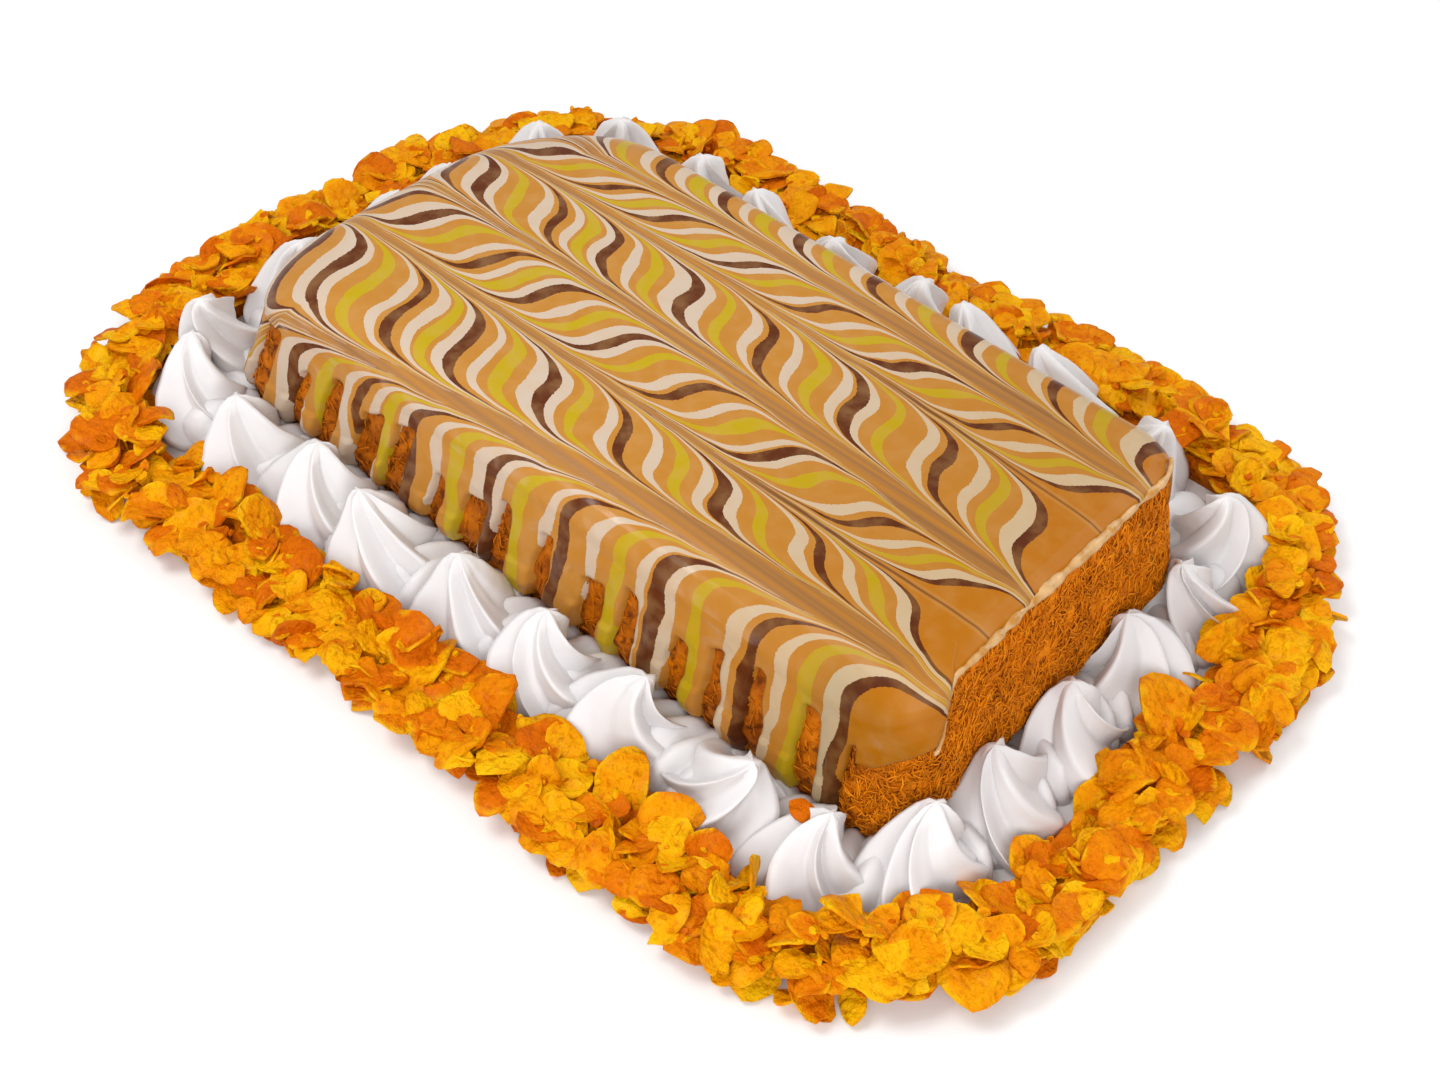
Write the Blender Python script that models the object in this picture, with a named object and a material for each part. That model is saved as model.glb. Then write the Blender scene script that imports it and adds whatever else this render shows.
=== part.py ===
"""A kunafa bar with its border.

A baked bar of shredded pastry lies under poured icing that runs down its flanks in fingers.  Piped
cream stars stand round its foot, and a bank of glazed cornflakes lies against the cream.  Metres,
+Z up.  The origin is the middle of the pastry's foot, +X points to the cut end, where the pastry is
bare, and -Y is the front.
"""
import math
import random
from collections import namedtuple

import bmesh
import bpy
from mathutils import Matrix, Vector

MM = 0.001

# The pastry bar, measured where its flanks meet the tucked-in foot.
BAR_LENGTH = 0.284
BAR_WIDTH = 0.149
BAR_HEIGHT = 0.0555
CROWN = 0.0025              # how much the middle of the top rises above the shoulders
FRONT_TAPER = 0.045         # the front bulges out by this share at the left end, and in at the cut end
END_SKEW = 0.060            # the cut end leans this much out of square
BELLY = 0.0015              # how far the cut end swells half way up
TUCK = 0.0065               # how far the foot draws in under the flanks, where the cream is pressed
TUCK_HEIGHT = 0.014
CRAG = 0.0010               # depth of the torn shreds where the pastry is bare
UNDER_ICING = 0.0012        # the pastry stays this much further in where icing hides it

# Flank by flank: how far it leans in up to the shoulder, and the shoulder's radius.
DRAFT = {"cut": 0.005, "back": 0.0078, "left": 0.008, "front": 0.0095}
SHOULDER = {"cut": 0.004, "back": 0.006, "left": 0.022, "front": 0.013}
# Corner by corner, from the cut end's back one: its radius in plan at the foot, and how much larger
# that is one level up.
CORNERS = (0.019, 0.030, 0.016, 0.019)
CORNER_GROWTH = (-0.002, 0.014, 0.006, -0.002)

# The icing.
ICING_GAP = 0.0003
ICING_THICK = 0.0019
BEAD = 0.0008               # the icing's edge above the cut end is this much thicker
INNER_TOP = 0.55            # the flat middle of the top, as a share of the ring at the shoulder
FINGER_PITCH = 0.0168
FINGER_STRAY = 0.16         # how far a gap may stray, as a share of the pitch
FINGER_MIDDLE = (0.38, 0.62)
FINGER_TIP = (0.006, 0.012)
GAP_TOP = (0.025, 0.037)
GAP_HALF_WIDTH = (0.0014, 0.0034)
GAP_FOOT_RISE = (0.0036, 0.0072)    # how far above a finger's tip the gap beside it opens
KNEE = 0.34                 # the level at which the icing bends in with the tucked foot
LOBE_LENGTH = 0.026         # plain icing at the front corner, short of the foot
LOBE_HEIGHT = (0.030, 0.040)
LOBE_STEPS = 5
LOBE_ROUGH = 0.0010
SCALLOP_PITCH = 0.0072
BEAD_TURN = 0.6             # the share of the back corner that the bead goes round
CUT_EDGE = (1.06, 1.42)     # levels between which the icing ends above the cut end

# The piped cream stars.
STAR_COUNT = 28
STAR_OUT = {"cut": 0.0088, "back": 0.0195, "left": 0.0135, "front": 0.0130}
STAR_STRAY = (-0.0002, 0.0009)
# Half its width square to the bar.
STAR_ACROSS = {"cut": 0.0146, "back": 0.0185, "left": 0.0160, "front": 0.0152}
STAR_ALONG = 0.0170         # half width, along the ring
STAR_RIDGES = 7
STAR_UNEVEN = (0.93, 1.05)
STAR_HEIGHT = {"cut": 0.0270, "back": 0.0380, "left": 0.0335, "front": 0.0255}
# Each ring's height and width as shares of the star's, and how deep its grooves are.
STAR_RINGS = ((0.0, 0.90, 0.14), (0.20, 1.0, 0.20), (0.54, 0.78, 0.30), (0.84, 0.32, 0.26))
STAR_TWIST = math.radians(42)
STAR_LEAN = {"cut": -0.0055, "back": 0.0020, "left": 0.0, "front": -0.0025}
STAR_LEAN_SHARE = (0.6, 1.2)
STAR_SWAY = 0.0035          # how far a peak may lean along the ring
STAR_BARE = 0.7             # stars that look this squarely to the cut end touch bare pastry
STAR_PHASE = 0.50           # where the first star stands, in pitches from the cut end's front
STAR_DRIFT = 0.15           # how far a star may stray along the ring, in pitches
DRIFT_SEED = 7305
STAR_CLEAR = 0.0005

# The bank of cornflakes.
BANK_OUT = {"cut": 0.0500, "back": 0.0630, "left": 0.0570, "front": 0.0560}
BANK_CORNER = 0.008         # how much narrower it is at its corners
BANK_CLEAR = 0.0006
BANK_STATIONS = 56
BANK_SECTION = ((0.0, 0.0), (0.02, 0.0085), (0.42, 0.0100), (0.88, 0.0052), (1.0, 0.0))
BANK_ROUGH = 0.0010
BANK_STRAY = (-0.004, 0.002)
FLOOR_CLEAR = 0.0003

# The flakes that show on it, spread round a ring in three rows.  A row's place is a share of the
# way across the bank; the first row leans on the cream.
FLAKE_COUNT = 120
FLAKE_RING = 0.045
FLAKE_ROWS = (0.16, 0.78, 0.45)
FLAKE_ROW_STRAY = 0.10
FLAKE_STRAY = 0.3
FLAKE_SIZE = (0.0072, 0.0112)       # half of its length
FLAKE_NARROW = 0.78                 # its width, as a share of its length
FLAKE_UNEVEN = (0.78, 1.12)
FLAKE_SKEW = 0.22
FLAKE_CURL = (0.010, 0.022)
FLAKE_THICK = 0.0013
FLAKE_TILT = (math.radians(-38), math.radians(46))
FLAKE_LEAN = math.radians(18)
FLAKE_FLIPPED = 0.35                # the share of the flakes that lie hollow side up
FLAKE_LIFT = (0.0004, 0.0030)
FLAKE_CLEAR = 0.0009
FLAKE_STEPS = 9                     # a flake that meets the cream moves out in steps
FLAKE_STEP = 0.06

# Large flakes that stand up against the cream along the front: where along X, and their tilt.
TALL_SIZE = 0.0125
TALL_SHARE = 0.10
TALL_LIFT = 0.0055
TALL_FLAKES = ((0.006, 0.80), (0.047, 1.12), (0.071, 0.64), (-0.143, 0.32), (0.118, 0.96),
               (-0.060, 0.64))

COLOURS = {
    "pastry": (0.52, 0.17, 0.008),
    "icing": (0.60, 0.31, 0.075),
    "cream": (0.78, 0.75, 0.72),
    "cornflake": (0.80, 0.29, 0.005),
}


def clear_scene():
    for thing in list(bpy.data.objects):
        bpy.data.objects.remove(thing, do_unlink=True)


def make_material(name, roughness):
    material = bpy.data.materials.new(name)
    material.use_nodes = True
    shader = material.node_tree.nodes["Principled BSDF"]
    shader.inputs["Base Color"].default_value = (*COLOURS[name], 1.0)
    shader.inputs["Roughness"].default_value = roughness
    shader.inputs["Metallic"].default_value = 0.0
    return material


def make_object(name, points, faces, material):
    mesh = bpy.data.meshes.new(name)
    mesh.from_pydata([tuple(p) for p in points], [], faces)
    mesh.materials.append(material)
    mesh.update()
    thing = bpy.data.objects.new(name, mesh)
    bpy.context.scene.collection.objects.link(thing)
    return thing


def blend(low, high, share):
    return low + (high - low) * share


# ---- outlines: rounded rectangles, walked anticlockwise from the cut end's front corner ----
# A station is a number from 0 to 8: even steps run along the four straights and odd steps round
# the four corners, so that one station names matching points on outlines of any size.

Outline = namedtuple("Outline", "left right front back radii")


def corners_of(shape):
    """The middle and the radius of each corner, from the cut end's back one."""
    a, b, c, d = shape.radii
    return (
        (shape.right - a, shape.back - a, a),
        (shape.left + b, shape.back - b, b),
        (shape.left + c, shape.front + c, c),
        (shape.right - d, shape.front + d, d),
    )


def outline_point(shape, station):
    """The point at a station of an outline, and the outline's normal there."""
    corners = corners_of(shape)
    step = int(station) % 8
    share = station - int(station)
    quarter = step // 2
    if step % 2:
        angle = (quarter + share) * math.pi / 2
        x, y, radius = corners[quarter]
        normal = Vector((math.cos(angle), math.sin(angle)))
        return Vector((x, y)) + radius * normal, normal
    angle = quarter * math.pi / 2
    normal = Vector((math.cos(angle), math.sin(angle)))
    ends = [Vector((x, y)) + r * normal for x, y, r in (corners[quarter - 1], corners[quarter])]
    return ends[0].lerp(ends[1], share), normal


def foot_shape(offset=0.0):
    half, side = BAR_LENGTH / 2 + offset, BAR_WIDTH / 2 + offset
    return Outline(-half, half, -side, side, [radius + offset for radius in CORNERS])


def segment_lengths(shape):
    """The lengths of the straights and corners, in the order of the stations."""
    spans = (shape.back - shape.front, shape.right - shape.left) * 2
    lengths = []
    for step, (span, radius) in enumerate(zip(spans, shape.radii)):
        lengths += [span - shape.radii[step - 1] - radius, radius * math.pi / 2]
    return lengths


def station_at(shape, distance):
    """The station that lies a distance along an outline."""
    lengths = segment_lengths(shape)
    distance %= sum(lengths)
    for step, length in enumerate(lengths):
        if distance < length:
            return step + distance / length
        distance -= length
    return 0.0


def by_side(values, normal):
    """A measure that changes from side to side, blended round the corners."""
    end = values["cut"] if normal.x > 0 else values["left"]
    side = values["back"] if normal.y > 0 else values["front"]
    return end * normal.x ** 2 + side * normal.y ** 2


def shear(point):
    """The bar isn't quite a rectangle: its front tapers and its cut end is a little askew."""
    x, y = point
    along = x / (BAR_LENGTH / 2)
    if y < 0:
        y *= 1 - FRONT_TAPER * along
    if x > 0:
        x -= END_SKEW * point[1] * along
    return Vector((x, y))


# ---- the bar's surface ----
# A level from 0 to 1 climbs a flank from the foot to the shoulder, and from 1 to 2 goes round it.

def flank(side, level):
    """How far a flank has moved in at a level, and its height there."""
    draft, radius = DRAFT[side], SHOULDER[side]
    if level <= 1:
        return draft * level, (BAR_HEIGHT - radius) * level
    angle = (level - 1) * math.pi / 2
    return draft + radius * (1 - math.cos(angle)), BAR_HEIGHT - radius * (1 - math.sin(angle))


def bar_point(station, level, offset=0.0):
    """A point of the bar's surface, moved out along the surface's normal by an offset."""
    angle = max(level - 1, 0) * math.pi / 2
    out = offset * math.cos(angle)
    inset = {side: flank(side, level)[0] for side in DRAFT}
    height = {side: flank(side, level)[1] for side in DRAFT}
    shape = Outline(
        left=-BAR_LENGTH / 2 + inset["left"] - out,
        right=BAR_LENGTH / 2 - inset["cut"] + out,
        front=-BAR_WIDTH / 2 + inset["front"] - out,
        back=BAR_WIDTH / 2 - inset["back"] + out,
        radii=[radius + growth * level + out for radius, growth in zip(CORNERS, CORNER_GROWTH)],
    )
    flat, normal = outline_point(shape, station)
    z = by_side(height, normal) + (offset + crown_at(flat.y)) * math.sin(angle)
    swell = BELLY * max(normal.x, 0) ** 2 * math.sin(math.pi * min(z / BAR_HEIGHT, 1))
    swell -= TUCK * max(1 - z / TUCK_HEIGHT, 0)
    flat = shear(flat + swell * normal)
    return Vector((flat.x, flat.y, z))


def crown_at(y):
    return CROWN * (1 - (2 * y / BAR_WIDTH) ** 2)


def inner_top_point(station, offset):
    """The edge of the flat middle of the top."""
    edge = bar_point(station, 2.0, offset)
    return Vector((edge.x * INNER_TOP, edge.y * INNER_TOP, BAR_HEIGHT + CROWN + offset))


def level_at(station, height):
    """The level at which a flank stands a height above the foot."""
    _, normal = outline_point(foot_shape(), station)
    return height / (BAR_HEIGHT - by_side(SHOULDER, normal))


def loft(rings):
    """Faces between rings of equal length, with the first and last ring capped."""
    count = len(rings[0])
    points = [p for ring in rings for p in ring]
    faces = [tuple(reversed(range(count)))]
    for low in range(len(rings) - 1):
        for i in range(count):
            j = (i + 1) % count
            a, b = low * count, (low + 1) * count
            faces.append((a + i, a + j, b + j, b + i))
    last = (len(rings) - 1) * count
    faces.append(tuple(range(last, last + count)))
    return points, faces


# ---- the pastry ----

PASTRY_STEPS = (20, 4, 20, 4, 11, 4, 20, 4)     # stations on each straight and corner
PASTRY_LEVELS = (0.0, 0.3, 0.5, 0.75, 1.0, 1.5, 2.0)


def build_pastry(material):
    rng = random.Random(3)
    stations = [step + i / n for step, n in enumerate(PASTRY_STEPS) for i in range(n)]
    rings = []
    for level in PASTRY_LEVELS:
        ring = []
        for station in stations:
            if 0 < station < 1 and 0 < level < 1:
                offset = rng.uniform(-CRAG, CRAG)
            elif level > 1:
                offset = -UNDER_ICING
            else:
                offset = -UNDER_ICING - rng.uniform(0, CRAG) * (level > 0)
            ring.append(bar_point(station, level, offset))
        rings.append(ring)
    rings.append([inner_top_point(station, -UNDER_ICING) for station in stations])
    return make_object("kunafa", *loft(rings), material)


# ---- the icing ----

def skirt():
    """Stations round the bar, each with the level at which the icing ends there."""
    rng = random.Random(11)
    foot = foot_shape()
    lengths = segment_lengths(foot)
    whole = sum(lengths)
    edge = []
    start, stop = lengths[0] + BEAD_TURN * lengths[1], whole - LOBE_LENGTH
    steps = round(start / SCALLOP_PITCH)
    for i in range(steps):
        low = CUT_EDGE[0] if i % 2 else CUT_EDGE[1]
        edge.append((start * i / steps, blend(low, sum(CUT_EDGE) / 2, rng.random())))
    fingers = round((stop - start) / FINGER_PITCH)
    pitch = (stop - start) / fingers
    bounds = [start + pitch * (i + rng.uniform(-FINGER_STRAY, FINGER_STRAY)) for i in range(fingers)]
    bounds.append(stop)
    halves = [rng.uniform(*GAP_HALF_WIDTH) for _ in bounds]
    for i, (left, right) in enumerate(zip(bounds, bounds[1:])):
        tip = rng.uniform(*FINGER_TIP)
        middle = blend(left, right, rng.uniform(*FINGER_MIDDLE))
        heights = (
            (left, rng.uniform(*GAP_TOP)),
            (left + halves[i], tip + rng.uniform(*GAP_FOOT_RISE)),
            (middle, tip),
            (right - halves[i + 1], tip + rng.uniform(*GAP_FOOT_RISE)),
        )
        edge += [(s, level_at(station_at(foot, s), z)) for s, z in heights]
    for i in range(LOBE_STEPS):
        s = blend(stop, whole, i / LOBE_STEPS)
        height = blend(*LOBE_HEIGHT, i / LOBE_STEPS) + rng.uniform(-LOBE_ROUGH, LOBE_ROUGH)
        edge.append((s, level_at(station_at(foot, s), height)))
    return [(station_at(foot, s), min(level, CUT_EDGE[1])) for s, level in edge]


def icing_levels(end):
    """The levels of a strip of icing from the top's edge down to where it ends."""
    if end < KNEE:
        return (2.0, 1.5, 1.0, KNEE, end)
    if end < 1:
        return (2.0, 1.5, 1.0, blend(1, end, 1 / 2), end)
    return (2.0, blend(end, 2, 3 / 4), blend(end, 2, 2 / 4), blend(end, 2, 1 / 4), end)


def build_icing(material):
    edge = skirt()
    outer, inner = [[] for _ in range(6)], [[] for _ in range(6)]
    for station, end in edge:
        _, normal = outline_point(foot_shape(), station)
        bead = BEAD * (end > 1)
        thick = ICING_GAP + ICING_THICK
        for rings, offset in ((inner, ICING_GAP), (outer, thick)):
            rings[0].append(inner_top_point(station, offset))
            for ring, level in zip(rings[1:], icing_levels(end)):
                swell = bead if rings is outer and level < 2 else 0.0
                ring.append(bar_point(station, level, offset + swell))
    return make_object("icing", *loft(inner + outer[::-1]), material)


# ---- the cream stars ----

Star = namedtuple("Star", "middle normal station along across height lean turn")


def star_places():
    """Where each star stands, its half widths, its height and how its peak leans."""
    rng, places = random.Random(5), random.Random(DRIFT_SEED)
    middle = foot_shape(sum(STAR_OUT.values()) / 4)
    pitch = sum(segment_lengths(middle)) / STAR_COUNT
    stars = []
    for i in range(STAR_COUNT):
        drift = places.uniform(-STAR_DRIFT, STAR_DRIFT)
        station = station_at(middle, pitch * (i + STAR_PHASE + drift))
        _, normal = outline_point(middle, station)
        out = by_side(STAR_OUT, normal) + rng.uniform(*STAR_STRAY)
        flat, _ = outline_point(foot_shape(out), station)
        height = by_side(STAR_HEIGHT, normal) * rng.uniform(*STAR_UNEVEN)
        lean = normal * by_side(STAR_LEAN, normal) * rng.uniform(*STAR_LEAN_SHARE)
        lean += Vector((-normal.y, normal.x)) * rng.uniform(-STAR_SWAY, STAR_SWAY)
        turn = rng.uniform(0, math.tau)
        across = by_side(STAR_ACROSS, normal)
        stars.append(Star(shear(flat), normal, station, STAR_ALONG, across, height, lean, turn))
    spaced = []
    for i, star in enumerate(stars):
        near = (stars[i - 1], stars[(i + 1) % STAR_COUNT])
        room = min((star.middle - other.middle).length for other in near) / 2
        spaced.append(star._replace(along=min(STAR_ALONG, room - STAR_CLEAR)))
    return spaced


def wall_at(star, height):
    """How far out from a star's middle the bar stands at a height, with its icing or its crags."""
    bare = star.normal.x > STAR_BARE or height < FINGER_TIP[0] - MM
    offset = CRAG if bare else ICING_GAP + ICING_THICK
    point = bar_point(star.station, level_at(star.station, height), offset)
    return (point.xy - star.middle).dot(star.normal)


def star_ring(star, height_share, width_share, groove):
    """One ridged ring of a star, turned the more the higher it stands, and pressed to the bar."""
    height = star.height * height_share
    tangent = Vector((-star.normal.y, star.normal.x))
    centre = star.middle + star.lean * height_share ** 2
    least = wall_at(star, height) + STAR_CLEAR
    ring = []
    for i in range(2 * STAR_RIDGES):
        angle = star.turn + STAR_TWIST * height_share + math.pi * i / STAR_RIDGES
        depth = width_share * (1 - groove * (i % 2))
        flat = centre + depth * (star.along * math.cos(angle) * tangent
                                 - star.across * math.sin(angle) * star.normal)
        flat += star.normal * max(least - (flat - star.middle).dot(star.normal), 0)
        ring.append(Vector((flat.x, flat.y, height)))
    return ring


def build_star(name, star, material):
    rings = [star_ring(star, *ring) for ring in STAR_RINGS]
    points, faces = loft(rings)
    faces[0] = tuple(reversed(faces[0]))
    last = faces.pop()
    tip = star.middle + star.lean
    points.append(Vector((tip.x, tip.y, star.height)))
    faces += [(last[i], last[(i + 1) % len(last)], len(points) - 1) for i in range(len(last))]
    tidy_normals(make_object(name, points, faces, material))


def tidy_normals(thing):
    bm = bmesh.new()
    bm.from_mesh(thing.data)
    bmesh.ops.triangulate(bm, faces=bm.faces)
    bmesh.ops.recalc_face_normals(bm, faces=bm.faces)
    bm.to_mesh(thing.data)
    bm.free()


# ---- the cornflakes ----

def star_reach(star, height):
    """A star's width at a height, as a share of its greatest width."""
    share = height / star.height
    rings = STAR_RINGS + ((1.0, 0.0, 0.0),)
    for low, high in zip(rings, rings[1:]):
        if share <= high[0]:
            return blend(low[1], high[1], (share - low[0]) / (high[0] - low[0]))
    return 0.0


def clear_of_stars(point, stars, room):
    for star in stars:
        if point.z > star.height + room:
            continue
        away = point.xy - star.middle - star.lean * min(point.z / star.height, 1) ** 2
        across = away.dot(star.normal) / (star.across + room)
        beside = away.dot(Vector((-star.normal.y, star.normal.x))) / (star.along + room)
        reach = star_reach(star, max(point.z - room, 0)) + room / star.across
        if math.hypot(across, beside) < reach:
            return False
    return True


def bank_point(station, share, height, edge=0.0):
    """A point of the bank: 0 lies against the cream and 1 at the outer edge."""
    _, normal = outline_point(foot_shape(), station)
    inner = by_side(STAR_OUT, normal) + by_side(STAR_ACROSS, normal) + STAR_STRAY[1] + BANK_CLEAR
    outer = by_side(BANK_OUT, normal) - BANK_CORNER * (2 * normal.x * normal.y) ** 2 + edge
    out = blend(inner, outer, share)
    flat = shear(outline_point(foot_shape(out), station)[0])
    return Vector((flat.x, flat.y, height))


def bank_height(share):
    """The core's height, a share of the way across the bank."""
    for low, high in zip(BANK_SECTION, BANK_SECTION[1:]):
        if share <= high[0]:
            return blend(low[1], high[1], (share - low[0]) / (high[0] - low[0]))
    return 0.0


def build_core(material):
    rng = random.Random(8)
    middle = foot_shape(sum(BANK_OUT.values()) / 4)
    whole = sum(segment_lengths(middle))
    sections = []
    for i in range(BANK_STATIONS):
        station = station_at(middle, whole * i / BANK_STATIONS)
        edge = rng.uniform(*BANK_STRAY)
        section = []
        for share, height in BANK_SECTION:
            lift = rng.uniform(-BANK_ROUGH, BANK_ROUGH) if height else 0.0
            section.append(bank_point(station, share, height + lift, edge))
        sections.append(section)
    sides = len(BANK_SECTION)
    points = [p for section in sections for p in section]
    faces = []
    for i in range(BANK_STATIONS):
        a, b = i * sides, (i + 1) % BANK_STATIONS * sides
        faces += [(a + k, b + k, b + (k + 1) % sides, a + (k + 1) % sides) for k in range(sides)]
    core = make_object("cornflakes", points, faces, material)
    tidy_normals(core)
    return core


def flake_mesh(rng, size):
    """A thin plate of five or six uneven corners, curled about one axis."""
    corners = rng.choice((5, 6, 6))
    curl = rng.uniform(*FLAKE_CURL)
    flat = []
    for i in range(corners):
        angle = math.tau * (i + rng.uniform(-FLAKE_SKEW, FLAKE_SKEW)) / corners
        reach = size * rng.uniform(*FLAKE_UNEVEN)
        x, y = reach * math.cos(angle), FLAKE_NARROW * reach * math.sin(angle)
        flat.append(Vector((x, y, -x * x / (2 * curl))))
    down = Vector((0, 0, FLAKE_THICK))
    return loft([[p - down for p in flat], flat])


def place_flake(rng, stars, station, share, size, tilt, lift):
    """A flake's corners and faces where it lies, pushed out until it clears the cream."""
    points, faces = flake_mesh(rng, size)
    _, normal = outline_point(foot_shape(), station)
    outward = math.atan2(normal.y, normal.x)
    turn = Matrix.Rotation(outward, 4, "Z") @ Matrix.Rotation(-tilt, 4, "Y")
    turn @= Matrix.Rotation(rng.uniform(0, math.tau), 4, "Z")
    if rng.random() < FLAKE_FLIPPED:
        turn @= Matrix.Rotation(math.pi, 4, "X")
    turned = [turn @ p for p in points]
    for _ in range(FLAKE_STEPS):
        spot = bank_point(station, share, bank_height(min(share, 1)) + lift)
        placed = [p + spot for p in turned]
        sunk = max(FLOOR_CLEAR - min(p.z for p in placed), 0)
        placed = [p + Vector((0, 0, sunk)) for p in placed]
        middles = [(a + b) / 2 for a, b in zip(placed, placed[1:] + placed[:1])]
        if all(clear_of_stars(p, stars, FLAKE_CLEAR) for p in placed + middles):
            return placed, faces
        share += FLAKE_STEP
    return None


def scatter_flakes(stars, material):
    """Flakes spread evenly round the bank, and the tall ones along the front."""
    rng = random.Random(21)
    ring = foot_shape(FLAKE_RING)
    whole = sum(segment_lengths(ring))
    laid = []
    for i in range(FLAKE_COUNT):
        station = station_at(ring, whole * (i + rng.uniform(-FLAKE_STRAY, FLAKE_STRAY)) / FLAKE_COUNT)
        row = i % len(FLAKE_ROWS)
        share = FLAKE_ROWS[row] + rng.uniform(-FLAKE_ROW_STRAY, FLAKE_ROW_STRAY)
        tilt = rng.uniform(*FLAKE_TILT) + FLAKE_LEAN * (row == 0)
        size, lift = rng.uniform(*FLAKE_SIZE), rng.uniform(*FLAKE_LIFT)
        laid.append(place_flake(rng, stars, station, share, size, tilt, lift))
    for x, tilt in TALL_FLAKES:
        station = 6 + min(max(x / BAR_LENGTH + 0.5, 0.0), 0.999)
        laid.append(place_flake(rng, stars, station, TALL_SHARE, TALL_SIZE, tilt, TALL_LIFT))
    flakes = []
    for number, flake in enumerate(entry for entry in laid if entry):
        thing = make_object(f"flake_{number}", *flake, material)
        tidy_normals(thing)
        flakes.append(thing)
    return flakes


def fuse(core, pieces):
    """Joins the pieces to the core as one closed body and drops loose scraps."""
    group = bpy.data.collections.new("pieces")
    bpy.context.scene.collection.children.link(group)
    for piece in pieces:
        group.objects.link(piece)
    union = core.modifiers.new("fuse", "BOOLEAN")
    union.operation = "UNION"
    union.operand_type = "COLLECTION"
    union.collection = group
    fused = bpy.data.meshes.new_from_object(
        core.evaluated_get(bpy.context.evaluated_depsgraph_get()))
    core.modifiers.clear()
    core.data = fused
    for piece in pieces:
        bpy.data.objects.remove(piece, do_unlink=True)
    bpy.data.collections.remove(group)
    keep_largest(core)


def keep_largest(thing):
    bm = bmesh.new()
    bm.from_mesh(thing.data)
    bmesh.ops.triangulate(bm, faces=bm.faces)
    left = set(bm.verts)
    bodies = []
    while left:
        body, front = set(), [left.pop()]
        while front:
            vertex = front.pop()
            body.add(vertex)
            near = {edge.other_vert(vertex) for edge in vertex.link_edges} & left
            left -= near
            front += near
        bodies.append(body)
    bodies.sort(key=len)
    scraps = [vertex for body in bodies[:-1] for vertex in body]
    bmesh.ops.delete(bm, geom=scraps, context="VERTS")
    bm.to_mesh(thing.data)
    bm.free()


def main():
    clear_scene()
    pastry = make_material("pastry", 0.75)
    icing = make_material("icing", 0.25)
    cream = make_material("cream", 0.45)
    cornflake = make_material("cornflake", 0.4)
    build_pastry(pastry)
    build_icing(icing)
    stars = star_places()
    for number, star in enumerate(stars, 1):
        build_star(f"cream_star_{number:02d}", star, cream)
    fuse(build_core(cornflake), scatter_flakes(stars, cornflake))


main()
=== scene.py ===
"""Looks of a kunafa bar: shredded pastry under combed, marbled icing, piped cream and cornflakes.

Metres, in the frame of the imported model: +X points to the cut end, -Y to the front, +Z up.
"""
import itertools
import math
import random
from collections import namedtuple

import bpy
import numpy as np
from mathutils import Matrix, Vector


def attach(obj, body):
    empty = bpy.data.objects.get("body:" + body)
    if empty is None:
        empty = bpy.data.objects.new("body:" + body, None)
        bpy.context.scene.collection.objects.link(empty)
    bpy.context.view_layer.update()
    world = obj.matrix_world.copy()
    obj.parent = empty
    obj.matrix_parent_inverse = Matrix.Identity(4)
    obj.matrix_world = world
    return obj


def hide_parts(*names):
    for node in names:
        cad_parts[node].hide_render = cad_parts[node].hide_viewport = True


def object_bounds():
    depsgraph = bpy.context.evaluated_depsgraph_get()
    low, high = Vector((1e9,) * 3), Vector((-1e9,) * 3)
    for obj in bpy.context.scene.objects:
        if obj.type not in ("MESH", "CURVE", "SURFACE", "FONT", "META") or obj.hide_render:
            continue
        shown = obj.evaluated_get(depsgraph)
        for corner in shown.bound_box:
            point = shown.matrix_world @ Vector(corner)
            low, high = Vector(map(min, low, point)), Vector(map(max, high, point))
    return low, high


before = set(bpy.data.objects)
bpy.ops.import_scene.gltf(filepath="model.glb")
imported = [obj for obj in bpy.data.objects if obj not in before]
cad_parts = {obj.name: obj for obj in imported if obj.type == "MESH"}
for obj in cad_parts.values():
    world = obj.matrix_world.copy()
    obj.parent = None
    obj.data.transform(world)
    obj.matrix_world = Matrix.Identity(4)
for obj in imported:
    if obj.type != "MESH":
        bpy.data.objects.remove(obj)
cad_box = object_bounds()

MM = 0.001
TURN = 2 * math.pi

# ---- the camera, the light and the floor ----

CAMERA_PLACE = (0.3488, -0.3337, 0.4544)
CAMERA_RIGHT = (0.70877, 0.70542, -0.00569)
CAMERA_BACK = (0.50415, -0.50087, 0.70353)
CAMERA_LENS = 52.44
FLOOR_SIZE = 8.0
FLOOR_COLOUR = (0.9, 0.9, 0.9)
WORLD_STRENGTH = 0.55

# Each light: where it stands, how large and how strong it is.
LIGHTS = (
    ("key", (-0.35, -0.45, 1.2), 0.6, 7.1),
    ("glint", (-0.5, -0.85, 0.46), 0.18, 0.85),
    ("fill", (0.82, -0.78, 0.74), 0.9, 9.9),
    ("back", (0.15, 0.95, 0.9), 0.8, 4.5),
)


def add_thing(name, data):
    thing = bpy.data.objects.new(name, data)
    bpy.context.scene.collection.objects.link(thing)
    return thing


def make_camera():
    back, right = Vector(CAMERA_BACK).normalized(), Vector(CAMERA_RIGHT)
    right = (right - back * right.dot(back)).normalized()
    turn = Matrix((right, back.cross(right), back)).transposed().to_4x4()
    camera = add_thing("camera", bpy.data.cameras.new("camera"))
    camera.data.lens = CAMERA_LENS
    camera.data.clip_start, camera.data.clip_end = 0.01, 50.0
    camera.matrix_world = Matrix.Translation(CAMERA_PLACE) @ turn
    bpy.context.scene.camera = camera


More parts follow.
